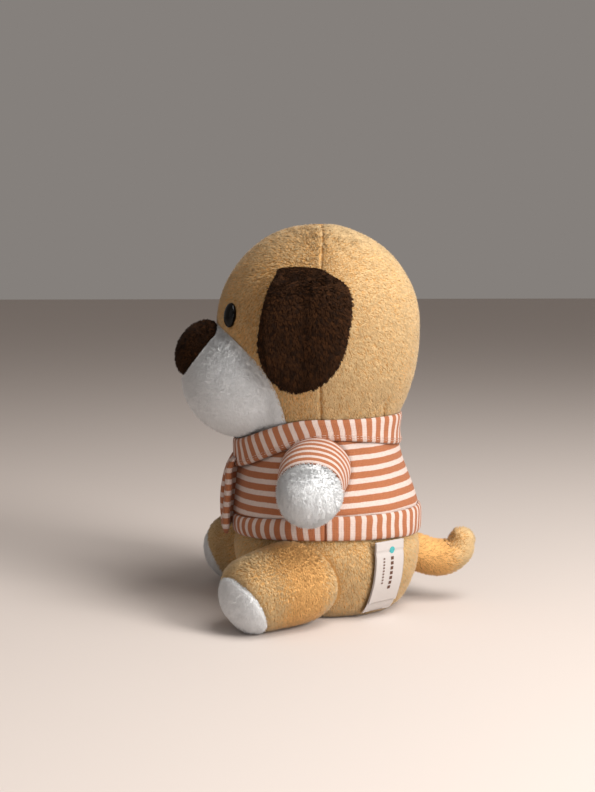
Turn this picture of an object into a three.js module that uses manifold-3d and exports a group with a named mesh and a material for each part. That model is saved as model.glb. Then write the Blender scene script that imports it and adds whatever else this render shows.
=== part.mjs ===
// Seated plush dog with a striped cardigan. Millimetres, +Z up, the dog faces -Y.
// Every cushion is a sewn skin over a separate fibre filling, with a thin gap between the two.
import * as THREE from 'three';
import { mergeVertices } from 'three/addons/utils/BufferGeometryUtils.js';
import Module from 'manifold-3d';

const wasm = await Module();
wasm.setup();

// ---- driving dimensions -------------------------------------------------------------------
const SEGMENTS = 26;          // points round a body section
const LIMB_SEGMENTS = 14;     // points round an arm, a leg or the tail
const PLUSH = 1.7;            // thickness of the plush skin
const KNIT = 1.9;             // thickness of the cardigan cloth
const GAP = 0.4;              // clearance between neighbouring pieces
const SIDE_SEAM = 26;         // azimuth of the torso's side seams, degrees from +X
const HEAD_Y = -4.5;          // fore-aft position of the neck axis
const HEAD_Z = 157.5;         // height of the head's widest section
const HEAD_R = 56.5;          // radius of the head
const HEAD_DROP = 81;         // half height of the head's longer lower part
const HEAD_WIDE = 1.04;       // the head is this much wider than it is deep
const HEAD_SEAM_Y = -6;       // the seam over the crown of the head
const MUZZLE = { at: [0, -43.4, 127.8], half: [42, 37, 32.6] };
const MUZZLE_PROUD = 0.3;     // how far the muzzle's cheeks stand off the head's own round
const NOSE = { at: [0, -70.2, 144.6], half: [19, 13, 17.3], tilt: 29 };
const EYE = { x: 27, z: 164.7, half: [5, 3.1, 6.8], shank: 1.6, washer: 5.2 };
const TAIL_PIVOT = [0, 51.5, 28.7];
const TAIL_SOCKET = 12.1;
const LABEL_AZIMUTH = 35.5;
const LABEL_WIDTH = 20;

// Sections of the body: height, centre y, half width in x, half depth in y.
const TORSO = [
  [0, 1, 33.5, 34.5], [1.7, 1, 38, 39], [6.5, 1, 42.6, 43.6], [13.3, 1, 46.3, 47.3],
  [21.5, 1, 49.4, 50.4], [30.8, 0.8, 51, 52], [38.5, 0.7, 51.2, 51.9], [42, 0.6, 47.4, 49.6],
  [58.5, 0.6, 47.1, 49.6], [66.6, -0.4, 45.8, 47.6], [77, -1.3, 43.5, 44.8], [95, -4.2, 41.4, 41.9],
  [98.8, -4.5, 38.5, 39.3]];
const GARMENT = [
  [42, 0.6, 50, 52.6], [50, 0.6, 50.6, 53.2], [58.5, 0.6, 50.2, 52.7], [66.6, -0.4, 48.6, 50.4],
  [77, -1.3, 46.2, 47.5], [88, -3, 44.6, 45.4], [99, -4.5, 44.4, 44.9], [104, -4.5, 45, 45.4],
  [111, -4.5, 46.4, 46.8]];
const NECK_CLEARANCE = [[99, 43], [104, 41.7], [107, 43.5], [111, 45.9]];
const NECK_SWEEP = 11;        // the muzzle clears the collar while the head turns this far, degrees
const FACET = 0.5;            // extra room between two faceted rings that turn against each other

// ---- small helpers --------------------------------------------------------------------------
const radians = THREE.MathUtils.degToRad;

function table(rows, z) {
  if (z <= rows[0][0]) return rows[0].slice(1);
  for (let i = 1; i < rows.length; i += 1) {
    if (z <= rows[i][0]) {
      const t = (z - rows[i - 1][0]) / (rows[i][0] - rows[i - 1][0]);
      return rows[i].slice(1).map((v, k) => rows[i - 1][k + 1] * (1 - t) + v * t);
    }
  }
  return rows[rows.length - 1].slice(1);
}

function smooth(t) {
  const u = Math.min(1, Math.max(0, t));
  return u * u * (3 - 2 * u);
}

// Joins rings of equal length into one closed surface, with a fan over each end.
function loft(rings) {
  const count = rings[0].length;
  const points = rings.flat().map((p) => [p.x, p.y, p.z]);
  const faces = [];
  for (let r = 0; r + 1 < rings.length; r += 1) {
    for (let i = 0; i < count; i += 1) {
      const j = (i + 1) % count;
      const a = r * count + i;
      const b = r * count + j;
      faces.push([a, b, b + count], [a, b + count, a + count]);
    }
  }
  for (const end of [0, rings.length - 1]) {
    const middle = new THREE.Vector3();
    rings[end].forEach((p) => middle.addScaledVector(p, 1 / count));
    const m = points.push([middle.x, middle.y, middle.z]) - 1;
    for (let i = 0; i < count; i += 1) {
      const a = end * count + i;
      const b = end * count + (i + 1) % count;
      faces.push(end === 0 ? [m, b, a] : [m, a, b]);
    }
  }
  const geometry = new THREE.BufferGeometry();
  geometry.setAttribute('position', new THREE.Float32BufferAttribute(points.flat(), 3));
  geometry.setIndex(faces.flat());
  return facingOut(geometry);
}

function facingOut(geometry) {
  const p = geometry.attributes.position;
  const index = geometry.index.array;
  const [a, b, c] = [new THREE.Vector3(), new THREE.Vector3(), new THREE.Vector3()];
  let volume = 0;
  for (let i = 0; i < index.length; i += 3) {
    a.fromBufferAttribute(p, index[i]);
    b.fromBufferAttribute(p, index[i + 1]);
    c.fromBufferAttribute(p, index[i + 2]);
    volume += a.dot(b.cross(c));
  }
  if (volume < 0) {
    for (let i = 0; i < index.length; i += 3) {
      const swap = index[i + 1];
      index[i + 1] = index[i + 2];
      index[i + 2] = swap;
    }
  }
  return geometry;
}

function solid(geometry) {
  const bare = geometry.clone();
  bare.deleteAttribute('normal');
  bare.deleteAttribute('uv');
  const merged = mergeVertices(bare, 1e-4);
  return new wasm.Manifold(new wasm.Mesh({
    numProp: 3,
    vertProperties: new Float32Array(merged.attributes.position.array),
    triVerts: new Uint32Array(merged.index.array),
  }));
}

function geometryOf(body) {
  const mesh = body.getMesh();
  const geometry = new THREE.BufferGeometry();
  geometry.setAttribute('position', new THREE.Float32BufferAttribute(mesh.vertProperties, 3));
  geometry.setIndex(Array.from(mesh.triVerts));
  return geometry;
}

function ring(z, cy, rx, ry, count = SEGMENTS) {
  return Array.from({ length: count }, (_, i) => {
    const a = (2 * Math.PI * (i + 0.5)) / count;
    return new THREE.Vector3(rx * Math.cos(a), cy + ry * Math.sin(a), z);
  });
}

// A body of oval sections taken from a table, grown outwards by `grow`.
function sections(rows, low, high, grow = 0, levels = null) {
  const between = rows.map((r) => r[0]).filter((z) => z > low + 0.4 && z < high - 0.4);
  const heights = levels || [low, ...between, high];
  return solid(loft(heights.map((z) => {
    const [cy, rx, ry] = table(rows, z);
    return ring(z, cy, rx + grow, ry + grow);
  })));
}

function ellipsoid(at, half, turn = new THREE.Matrix4(), detail = 18) {
  const ball = new THREE.SphereGeometry(1, detail, Math.round(detail * 0.55));
  ball.applyMatrix4(new THREE.Matrix4().makeRotationX(Math.PI / 2));
  ball.applyMatrix4(new THREE.Matrix4().makeScale(...half));
  ball.applyMatrix4(turn);
  ball.applyMatrix4(new THREE.Matrix4().makeTranslation(...at));
  return solid(ball);
}

function cylinderAlong(from, direction, start, end, radius, detail = 16) {
  const bar = new THREE.CylinderGeometry(radius, radius, end - start, detail);
  const way = new THREE.Vector3(...direction).normalize();
  const turn = new THREE.Quaternion().setFromUnitVectors(new THREE.Vector3(0, 1, 0), way);
  bar.applyMatrix4(new THREE.Matrix4().makeRotationFromQuaternion(turn));
  const middle = new THREE.Vector3(...from).addScaledVector(way, (start + end) / 2);
  bar.translate(middle.x, middle.y, middle.z);
  return solid(bar);
}

function prism(outline, low, high) {
  const shape = new THREE.Shape(outline.map(([x, y]) => new THREE.Vector2(x, y)));
  const block = new THREE.ExtrudeGeometry(shape, { depth: high - low, bevelEnabled: false });
  block.translate(0, 0, low);
  return solid(block);
}

// A rounded tube through the stations [x, y, z, radius]; grow thickens it all over.
function limb(stations, grow = 0, count = LIMB_SEGMENTS) {
  const centres = stations.map((s) => new THREE.Vector3(s[0], s[1], s[2]));
  return solid(loft(stations.map((s, k) => {
    const before = centres[Math.max(0, k - 1)];
    const after = centres[Math.min(centres.length - 1, k + 1)];
    const along = after.clone().sub(before).normalize();
    const side = new THREE.Vector3(-along.y, along.x, 0);
    if (side.length() < 0.3) side.set(1, 0, 0);
    side.normalize();
    const up = along.clone().cross(side).normalize();
    const radius = Math.max(0.6, s[3] + grow);
    return Array.from({ length: count }, (_, i) => {
      const a = (2 * Math.PI * i) / count;
      return centres[k].clone()
        .addScaledVector(side, radius * Math.cos(a))
        .addScaledVector(up, radius * Math.sin(a));
    });
  })));
}

// Adds dome stations beyond the last one; reach is the dome's height.
function domed(stations, reach, grow = 0) {
  const last = stations[stations.length - 1];
  const before = stations[stations.length - 2];
  const way = new THREE.Vector3(last[0] - before[0], last[1] - before[1], last[2] - before[2]).normalize();
  const rows = stations.map((s) => [...s]);
  for (const t of [0.42, 0.75, 0.94, 1]) {
    const far = (reach + grow) * t;
    const radius = (last[3] + grow) * Math.sqrt(Math.max(0, 1 - t * t)) - grow;
    rows.push([last[0] + way.x * far, last[1] + way.y * far, last[2] + way.z * far, radius]);
  }
  return rows;
}

const group = new THREE.Group();

function add(name, body, colour, roughness = 0.95) {
  const geometry = body.isBufferGeometry ? body : geometryOf(body);
  geometry.computeVertexNormals();
  const material = new THREE.MeshStandardMaterial({ color: colour, roughness, metalness: 0 });
  const mesh = new THREE.Mesh(geometry, material);
  mesh.name = name;
  group.add(mesh);
  return mesh;
}

const TAN = '#d6aa73';
const BROWN = '#3a2316';
const WHITE = '#dfdfe2';
const STRIPE = '#c98a66';
const FILL = '#f2f0ea';

// ---- torso ------------------------------------------------------------------------------------
const torsoOuter = sections(TORSO, 0, 98.8);
const insideLevels = [PLUSH, 6.5, 13.3, 21.5, 38.5, 42, 58.5, 77, 98.8 - PLUSH];
const fillLevels = [PLUSH + GAP, ...insideLevels.slice(1, -1), 98.8 - PLUSH - GAP];
const torsoInner = sections(TORSO, 0, 0, -PLUSH, insideLevels);
const torsoFill = sections(TORSO, 0, 0, -PLUSH - GAP, fillLevels)
  .add(cylinderAlong([0, HEAD_Y, 90], [0, 0, 1], 0, 8.9, 29, SEGMENTS));
const baseCut = solid(loft([ring(-1, 1, 31.2, 32.2), ring(PLUSH + 0.8, 1, 31.2, 32.2)]));
const neckCut = cylinderAlong([0, HEAD_Y, 90], [0, 0, 1], 0, 20, 29 + GAP, SEGMENTS);
const tailSocket = ellipsoid(TAIL_PIVOT, [TAIL_SOCKET, TAIL_SOCKET, TAIL_SOCKET]);
const torsoSkin = torsoOuter.subtract(torsoInner).subtract(baseCut).subtract(neckCut).subtract(tailSocket);

const seamRise = 140 * Math.tan(radians(SIDE_SEAM));
const behind = prism([[0, GAP / 2], [140, seamRise], [140, 160], [-140, 160], [-140, seamRise]], -5, 120);
const ahead = prism([[0, -GAP / 2], [-140, seamRise - GAP], [-140, -160], [140, -160],
  [140, seamRise - GAP]], -5, 120);
add('torso_skin_front', torsoSkin.intersect(ahead), TAN);
add('torso_skin_back', torsoSkin.intersect(behind), TAN);
add('base_panel', loft([ring(0, 1, 30.8, 31.8), ring(PLUSH - 0.1, 1, 30.8, 31.8)]), TAN);
add('torso_stuffing', torsoFill.subtract(tailSocket), FILL);

// ---- cardigan -----------------------------------------------------------------------------------
// Every band follows the garment's outline. Its edges rise and fall round the body, as functions of c:
// 1 at the front of the body, 0 at its sides and -1 at the back.
function hemTop(c) {
  return 58.6 - (c > 0 ? 5.6 * c ** 1.5 : 0);
}

function hemBottom(c) {
  return 45.5 - 3 * c * c;
}

function fromFront(c) {
  return THREE.MathUtils.radToDeg(Math.acos(c));
}

function collarTop(c) {
  return 95.5 + 14.5 * smooth((fromFront(c) - 5) / 80);
}

function collarBottom(c) {
  return c > 0 ? 98.5 - 19 * c ** 1.66 : 98.5 - 6.5 * c * c;
}

// A closed band between an upper and a lower edge curve, between two offsets from the garment.
function band(bottom, top, outerGrow, innerRadii, rows = 3) {
  const count = SEGMENTS;
  const wall = (t, side) => Array.from({ length: count }, (_, i) => {
    const a = (2 * Math.PI * (i + 0.5)) / count;
    const c = -Math.sin(a);
    const z = bottom(c) + (top(c) - bottom(c)) * t;
    const [cy, rx, ry] = table(GARMENT, z);
    const grow = side === 'out' ? outerGrow(c) : 0;
    const [ix, iy] = side === 'out' ? [rx, ry] : innerRadii(z, rx, ry);
    return new THREE.Vector3((ix + grow) * Math.cos(a), cy + (iy + grow) * Math.sin(a), z);
  });
  const levels = Array.from({ length: rows + 1 }, (_, k) => k / rows);
  const loop = [...levels.map((t) => wall(t, 'out')), ...levels.slice().reverse().map((t) => wall(t, 'in'))];
  const points = loop.flat().map((p) => [p.x, p.y, p.z]);
  const faces = [];
  for (let r = 0; r < loop.length; r += 1) {
    const s = (r + 1) % loop.length;
    for (let i = 0; i < count; i += 1) {
      const j = (i + 1) % count;
      faces.push([r * count + i, r * count + j, s * count + j], [r * count + i, s * count + j, s * count + i]);
    }
  }
  const geometry = new THREE.BufferGeometry();
  geometry.setAttribute('position', new THREE.Float32BufferAttribute(points.flat(), 3));
  geometry.setIndex(faces.flat());
  return facingOut(geometry);
}

const clothInside = (z, rx, ry) => [rx - KNIT, ry - KNIT];
const collarInside = (z, rx, ry) => {
  if (z < 99) return [rx - KNIT + 0.2, ry - KNIT + 0.2];
  const [r] = table(NECK_CLEARANCE, z);
  return [r, r];
};
add('sweater_body', band((c) => hemTop(c) + GAP, (c) => collarBottom(c) - GAP, () => 0, clothInside, 4), STRIPE);
add('hem_band', band(hemBottom, hemTop, () => 0.4, clothInside, 2), STRIPE);
const collarGrow = (c) => 1.1 + 2 * Math.max(0, c) ** 5;
add('collar_band', band(collarBottom, collarTop, collarGrow, collarInside, 3), STRIPE);

// Everything a limb has to stay clear of: torso, cardigan and bands in one oversize solid.
const envelope = sections(TORSO, -1, 42.5, GAP)
  .add(solid(loft([-1, 0].map((z) => ring(z, 1, 33 + GAP, 34 + GAP)))))
  .add(solid(loft([37.5, 43].map((z) => ring(z, 0.6, 52.5, 53.4)))))
  .add(solid(loft([42, 44, 50, 58.5, 60].map((z) => {
    const [cy, rx, ry] = table(GARMENT, z);
    return ring(z, cy, rx + 0.4 + GAP, ry + 0.4 + GAP);
  }))))
  .add(solid(loft([59.5, 66.6, 77, 88, 92, 99, 104, 111].map((z) => {
    const [cy, rx, ry] = table(GARMENT, z);
    const grow = z < 80 ? GAP : 1.1 + GAP;
    return ring(z, cy, rx + grow, ry + grow);
  }))));

// ---- collar ends hanging down the front -----------------------------------------------------------
// Rows of one end: height, y, half width and half thickness.
const END_ROWS = [[79, -53.4, 5.2, 2], [75, -55, 5.8, 2.7], [66, -56.2, 6.1, 2.7], [54, -56.7, 6.2, 2.7],
  [47, -56.8, 6, 2.8], [44, -56.9, 4, 2.4], [42.5, -57, 1.2, 1.4]];

function hangingEnd(side) {
  return loft(END_ROWS.map(([z, y, w, t]) => {
    const outline = [[-w, -0.5 * t], [-w * 0.8, -t], [w * 0.8, -t], [w, -0.5 * t], [w, 0.5 * t], [w * 0.8, t],
      [-w * 0.8, t], [-w, 0.5 * t]];
    return outline.map(([x, d]) => new THREE.Vector3(side * 7 + x, y + d, z));
  }));
}

// ---- head -------------------------------------------------------------------------------------------
function headRadius(z) {
  if (z >= HEAD_Z) return Math.sqrt(Math.max(0, HEAD_R ** 2 - (z - HEAD_Z) ** 2));
  const oval = HEAD_R * Math.sqrt(1 - ((HEAD_Z - z) / HEAD_DROP) ** 2);
  const [neck] = table([[99.5, 37.6], [101, 39], [104, 41], [107, 42.8], [110.5, 44.9], [114, 47.6]], z);
  return z < 114 ? Math.min(oval, neck) : oval;
}

function headSolid(shrink) {
  const heights = [99.5, 104, 107, 110.5, 114, 122, 134, 146, HEAD_Z];
  for (const a of [16, 32, 48, 64, 82]) heights.push(HEAD_Z + HEAD_R * Math.sin(radians(a)));
  const rings = heights.map((z) => {
    const wide = 1 + (HEAD_WIDE - 1) * smooth((z - 110) / 25);
    const slope = z > HEAD_Z ? (z - HEAD_Z) / HEAD_R : 0;
    const lift = z < 100 ? shrink : -shrink * slope;
    const r = headRadius(z) - shrink * Math.sqrt(1 - slope * slope);
    return ring(z + lift, HEAD_Y, r * wide, r, SEGMENTS);
  });
  return solid(loft(rings));
}

const head = headSolid(0);
const headHollow = headSolid(PLUSH);
const grown = (piece, by) => piece.half.map((h) => h + by);
const muzzleBulk = (shrink) => ellipsoid(MUZZLE.at, grown(MUZZLE, -shrink), undefined, 20)
  .add(headSolid(shrink - MUZZLE_PROUD));

// The sewn line between muzzle and head, seen from the side: height and y, from under the chin upwards.
const MUZZLE_SEAM = [[90, -22], [98, -23.5], [108, -26], [117, -28.6], [124, -31.3], [131, -34.8],
  [137, -39], [142, -43.4], [150, -51.6], [154, -56], [160, -63]];
const aheadOfSeam = (shift) => prism([[-95, 90], ...MUZZLE_SEAM.map(([z, y]) => [y + shift, z]),
  [-95, 166]], -70, 70).rotate([90, 0, 90]);
const muzzleRoom = muzzleBulk(-GAP).intersect(aheadOfSeam(GAP));
const neckHole = cylinderAlong([0, HEAD_Y, 90], [0, 0, 1], 0, 14, 29 + GAP, SEGMENTS);
const box = (lowY, highY) => prism([[-90, lowY], [90, lowY], [90, highY], [-90, highY]], 80, 230);

let headSkin = head.subtract(headHollow).subtract(aheadOfSeam(GAP)).subtract(neckHole);
let headFill = headSolid(PLUSH + GAP)
  .add(ellipsoid(MUZZLE.at, grown(MUZZLE, -PLUSH - GAP), undefined, 20))
  .add(cylinderAlong([0, HEAD_Y, 90], [0, 0, 1], 9.6, 20, 29, SEGMENTS));
const neckTop = cylinderAlong([0, HEAD_Y, 80], [0, 0, 1], 0, 19.5, 43.2, SEGMENTS);
headFill = headFill.subtract(cylinderAlong([0, HEAD_Y, 80], [0, 0, 1], 0, 19.5, 43.8, SEGMENTS));
const turned = (c, by) => Math.cos(radians(THREE.MathUtils.clamp(fromFront(c) + by, 0, 180)));
const collarRoom = solid(band(
  (c) => collarBottom(turned(c, -NECK_SWEEP)) - 1,
  (c) => collarTop(turned(c, NECK_SWEEP)) + GAP,
  (c) => collarGrow(turned(c, -NECK_SWEEP)) + GAP + FACET,
  (z, rx, ry) => [rx - 3, ry - 3],
));
const muzzleSkin = muzzleBulk(0).subtract(muzzleBulk(PLUSH)).intersect(aheadOfSeam(0))
  .subtract(neckTop).subtract(neckHole).subtract(collarRoom);

const eyes = [1, -1].map((side) => {
  const r = headRadius(EYE.z);
  const y = HEAD_Y - Math.sqrt(r * r - (EYE.x / HEAD_WIDE) ** 2);
  const out = new THREE.Vector3(side * EYE.x / HEAD_WIDE, y - HEAD_Y, EYE.z - HEAD_Z).normalize();
  const across = new THREE.Vector3(-out.y, out.x, 0).normalize();
  const upward = out.clone().cross(across).normalize();
  if (upward.z < 0) upward.negate();
  const turn = new THREE.Matrix4().makeBasis(upward.clone().cross(out).normalize().negate(), out, upward);
  if (turn.determinant() < 0) turn.makeBasis(upward.clone().cross(out).normalize(), out, upward);
  return { side, at: [side * EYE.x, y, EYE.z], out: out.toArray(), turn };
});
const clearHead = headSolid(-0.3);
const eyeMeshes = eyes.map((eye) => {
  const dome = ellipsoid(eye.at, EYE.half, eye.turn, 12).subtract(clearHead);
  const shank = cylinderAlong(eye.at, eye.out, -8, 1.6, EYE.shank, 8);
  headSkin = headSkin.subtract(cylinderAlong(eye.at, eye.out, -9, 3, EYE.shank + 0.4, 8));
  headFill = headFill.subtract(cylinderAlong(eye.at, eye.out, -9, -1, EYE.washer + 0.5, 12));
  const washer = cylinderAlong(eye.at, eye.out, -4.4, -3.2, EYE.washer, 12)
    .subtract(cylinderAlong(eye.at, eye.out, -6, -1, EYE.shank + 0.35, 8));
  return { dome: dome.add(shank), washer };
});

add('head_skin_front', headSkin.intersect(box(-90, HEAD_SEAM_Y - GAP / 2)), TAN);
add('head_skin_back', headSkin.intersect(box(HEAD_SEAM_Y + GAP / 2, 90)), TAN);
add('head_stuffing', headFill, FILL);
add('muzzle_skin', muzzleSkin, WHITE);
eyes.forEach((eye, k) => {
  const name = eye.side > 0 ? 'left' : 'right';
  add(`eye_${name}`, eyeMeshes[k].dome, '#0b0a0a', 0.12);
  add(`eye_washer_${name}`, eyeMeshes[k].washer, '#e8e8e4', 0.5);
});

const noseTurn = new THREE.Matrix4().makeRotationX(radians(-NOSE.tilt));
const nose = ellipsoid(NOSE.at, NOSE.half, noseTurn, 16);
const noseHollow = ellipsoid(NOSE.at, grown(NOSE, -PLUSH), noseTurn, 16);
const noseFill = ellipsoid(NOSE.at, grown(NOSE, -PLUSH - GAP), noseTurn, 14);
add('nose_skin', nose.subtract(noseHollow).subtract(muzzleRoom).subtract(clearHead), BROWN);
add('nose_stuffing', noseFill.subtract(muzzleRoom).subtract(clearHead), FILL);

// ---- ears ----------------------------------------------------------------------------------------------
// Outline of one ear in the y-z plane, from the front of its sewn top edge round to the back.
const EAR = [[-27.3, 189.9], [-9.5, 189.7], [-2, 186], [4.6, 181.6], [7.8, 174],
  [7, 162], [4.6, 150], [0.8, 140], [-6.5, 131.2], [-18, 126], [-28.5, 128.4],
  [-37, 137.4], [-40.2, 150], [-38.8, 164], [-35.6, 176.5], [-31, 185.6]];
const EAR_MIDDLE = [-16, 158];
const EAR_HALF = 4;

function headSide(y, z) {
  const r = headRadius(z);
  const wide = 1 + (HEAD_WIDE - 1) * smooth((z - 110) / 25);
  return wide * Math.sqrt(Math.max(0, r * r - (y - HEAD_Y) ** 2));
}

function earPoint(side, y, z, depth) {
  const top = smooth((190.5 - z) / 16);
  const hang = 2.2 * smooth((158 - z) / 32);
  const half = 1.6 + (EAR_HALF - 1.6) * top;
  const edge = Math.max(headSide(-18, z), headSide(y, z));
  const x = edge + 0.6 + half + hang;
  return new THREE.Vector3(side * (x + depth * half), y, z);
}

// One ring of an ear, `scale` of the way out to its rim; depth runs from 0 at the rim to 1 in the middle.
function earRing(side, scale, depth) {
  return EAR.map(([y, z]) => earPoint(side, EAR_MIDDLE[0] + (y - EAR_MIDDLE[0]) * scale,
    EAR_MIDDLE[1] + (z - EAR_MIDDLE[1]) * scale, depth));
}

function earCup(side, way) {
  const shell = [[0.35, 1], [0.75, 0.9], [0.93, 0.62], [1, 0.06], [0.94, 0.06], [0.88, 0.34],
    [0.7, 0.56], [0.35, 0.64]];
  return loft(shell.map(([s, d]) => earRing(side, s, d * way)));
}

function earFill(side) {
  const shell = [[0.35, 0.5], [0.68, 0.42], [0.84, 0.1], [0.84, -0.1], [0.68, -0.42], [0.35, -0.5]];
  return loft(shell.map(([s, d]) => earRing(side, s, d)));
}

// ---- limbs -------------------------------------------------------------------------------------------------
const ARM = [[36, -7, 83.2, 18.2], [44, -9.2, 82.4, 18.4], [52, -11.4, 80.7, 18.1], [60, -13.2, 77.8, 17.4],
  [65, -14.1, 75.7, 16.8], [69.5, -14.8, 73.6, 15.9]];
const LEG_LEFT = [[33, -6, 21.8, 16.5], [38.5, -11.5, 22.2, 19], [44, -17, 22.6, 21.2], [51, -27, 22.4, 22.2],
  [57, -36, 21.4, 21.2], [62, -43.9, 20, 19.8]];
const LEG_RIGHT = [[-34, -6, 21.8, 16.5], [-38.5, -12.5, 22.2, 19.2], [-43, -20, 22.6, 21.4],
  [-48, -32, 22.4, 22.2], [-52.4, -43, 21.4, 21.2], [-56, -52.2, 20.2, 20]];
const CUFF = { at: [63.6, -14, 76.6], normal: [0.86, -0.12, -0.5] };
const SOLE = { beyond: 6.4, forward: 0.88, down: -0.48 };

// A skin cut in two by a plane, and the filling inside it.
function sewnLimb(stations, reach, planeAt, planeNormal) {
  const outer = limb(domed(stations, reach)).subtract(envelope);
  const inner = limb(domed(stations, reach, -PLUSH), -PLUSH);
  const fill = limb(domed(stations, reach, -PLUSH - GAP), -PLUSH - GAP).subtract(envelope);
  const skin = outer.subtract(inner);
  const tip = cylinderAlong(planeAt, planeNormal, GAP / 2, 60, 60);
  const root = cylinderAlong(planeAt, planeNormal, -90, -GAP / 2, 90);
  return { tip: skin.intersect(tip), root: skin.intersect(root), fill };
}

for (const side of [1, -1]) {
  const name = side > 0 ? 'left' : 'right';
  add(`ear_${name}_outer`, earCup(side, 1), BROWN);
  add(`ear_${name}_lining`, earCup(side, -1), BROWN);
  add(`ear_${name}_stuffing`, earFill(side), FILL);

  const arm = sewnLimb(ARM.map(([x, y, z, r]) => [side * x, y, z, r]), 15,
    [side * CUFF.at[0], CUFF.at[1], CUFF.at[2]], [side * CUFF.normal[0], CUFF.normal[1], CUFF.normal[2]]);
  add(`sleeve_${name}`, arm.root, STRIPE);
  add(`paw_${name}`, arm.tip, WHITE);
  add(`arm_${name}_stuffing`, arm.fill, FILL);

  const stations = side > 0 ? LEG_LEFT : LEG_RIGHT;
  const end = stations[stations.length - 1];
  const before = stations[stations.length - 2];
  const way = new THREE.Vector3(end[0] - before[0], end[1] - before[1], 0).normalize();
  const soleNormal = new THREE.Vector3(way.x * SOLE.forward, way.y * SOLE.forward, SOLE.down).normalize();
  const soleAt = new THREE.Vector3(end[0], end[1], 20).addScaledVector(soleNormal, SOLE.beyond);
  const leg = sewnLimb(stations, 16, soleAt.toArray(), soleNormal.toArray());
  add(`leg_${name}_skin`, leg.root, TAN);
  add(`sole_${name}`, leg.tip, WHITE);
  add(`leg_${name}_stuffing`, leg.fill, FILL);

  add(`collar_end_${name}`, hangingEnd(side), STRIPE);
}

// ---- tail -----------------------------------------------------------------------------------------------------
const TAIL = [[0, 41.6, 31.6, 1.5], [0, 43.2, 31.2, 6.6], [0, 46.5, 30.1, 9.3], [0, 51.5, 28.7, 10.4],
  [0, 60, 25.6, 10.5], [0, 69, 25.4, 10.1], [0, 75.6, 28.9, 9], [0, 78.4, 35.4, 7.2]];
const tailOuter = limb(domed(TAIL, 6.4), 0, 12);
const tailHollow = limb(domed(TAIL.slice(1), 6.4, -PLUSH), -PLUSH, 12)
  .add(cylinderAlong([0, 38, 32.8], [0, 1, -0.3], 0, 12, 5, 10));
add('tail_skin', tailOuter.subtract(tailHollow), TAN);
add('tail_stuffing', limb(domed(TAIL.slice(1), 6.4, -PLUSH - GAP), -PLUSH - GAP, 10), FILL);

// ---- sewn-in label: two pages hanging from under the hem ---------------------------------------------------------
function labelPage(low, offset) {
  const a = radians(LABEL_AZIMUTH);
  const heights = [44, 40, 34, 28, 20, 13, 8, 5.5, 3.5].filter((z) => z > low + 0.5);
  heights.push(low);
  const reachAt = (z) => {
    const [cy, rx, ry] = table(TORSO, z);
    const far = 1 / Math.hypot(Math.cos(a) / rx, Math.sin(a) / ry);
    const settled = Math.max(far, z > 38.5 ? 51.3 : 0);
    return settled + cy * Math.sin(a) + offset;
  };
  const t = LABEL_WIDTH / 2;
  return loft(heights.map((z) => [[-t, 0], [t, 0], [t, 0.5], [-t, 0.5]].map(([w, d]) => {
    const r = reachAt(z) + d;
    return new THREE.Vector3(r * Math.cos(a) - w * Math.sin(a), r * Math.sin(a) + w * Math.cos(a), z);
  })));
}
add('label_back_page', labelPage(3.6, 0.7), '#e2e0dc', 0.4);
add('label_front_page', labelPage(9.5, 1.6), '#e2e0dc', 0.4);

export default group;
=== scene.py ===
"""Looks of a seated plush dog in a striped cardigan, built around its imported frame.

The dog's sizes are millimetres and become metres where a mesh is made. The dog faces -Y, its left side
is +X, and it sits on z = 0.
"""
import math
from collections import namedtuple

import bmesh
import bpy
import numpy as np
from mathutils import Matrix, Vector, kdtree


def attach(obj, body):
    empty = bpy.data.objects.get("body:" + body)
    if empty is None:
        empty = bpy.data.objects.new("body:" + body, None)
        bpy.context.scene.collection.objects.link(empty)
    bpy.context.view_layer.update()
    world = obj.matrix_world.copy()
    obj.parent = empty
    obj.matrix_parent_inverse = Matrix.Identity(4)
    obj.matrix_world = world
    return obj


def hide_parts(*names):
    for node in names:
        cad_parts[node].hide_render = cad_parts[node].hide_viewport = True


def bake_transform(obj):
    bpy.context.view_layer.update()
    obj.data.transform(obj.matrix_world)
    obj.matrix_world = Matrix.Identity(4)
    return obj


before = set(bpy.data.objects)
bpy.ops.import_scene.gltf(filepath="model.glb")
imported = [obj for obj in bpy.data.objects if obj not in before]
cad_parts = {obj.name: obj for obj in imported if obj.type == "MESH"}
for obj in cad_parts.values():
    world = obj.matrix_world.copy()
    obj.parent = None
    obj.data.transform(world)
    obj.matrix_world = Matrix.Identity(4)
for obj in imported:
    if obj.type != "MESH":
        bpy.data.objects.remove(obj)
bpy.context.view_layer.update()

MM = 0.001
TURN = 2 * math.pi
SIDES = ((1, "left"), (-1, "right"))

# Colours, linear.
TAN = (0.61, 0.425, 0.22)
TAN_WARM = (0.72, 0.40, 0.145)
BROWN = (0.030, 0.0105, 0.0024)
WHITE = (0.84, 0.85, 0.86)
TERRACOTTA = (0.34, 0.122, 0.054)
CREAM = (0.57, 0.46, 0.415)

# ---- camera, light and floor ----
AIM = (-0.0014, -0.0159, 0.118)
CAMERA_AT = (0.74715, -0.06537, 0.194)


def aimed(thing, target):
    thing.rotation_euler = (Vector(target) - thing.location).to_track_quat("-Z", "Y").to_euler()


def linked(name, data):
    thing = bpy.data.objects.new(name, data)
    bpy.context.scene.collection.objects.link(thing)
    return thing


def add_camera():
    data = bpy.data.cameras.new("camera")
    data.sensor_fit = "VERTICAL"
    data.sensor_height = 36.0
    data.lens = 60.88
    data.clip_start = 0.01
    camera = linked("camera", data)
    camera.location = CAMERA_AT
    aimed(camera, AIM)
    bpy.context.scene.camera = camera


def add_light(name, place, size, power, colour):
    data = bpy.data.lights.new(name, "AREA")
    data.shape = "DISK"
    data.size = size
    data.energy = power
    data.color = colour
    lamp = linked(name, data)
    lamp.location = place
    aimed(lamp, (0, 0, 0.1))


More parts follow.
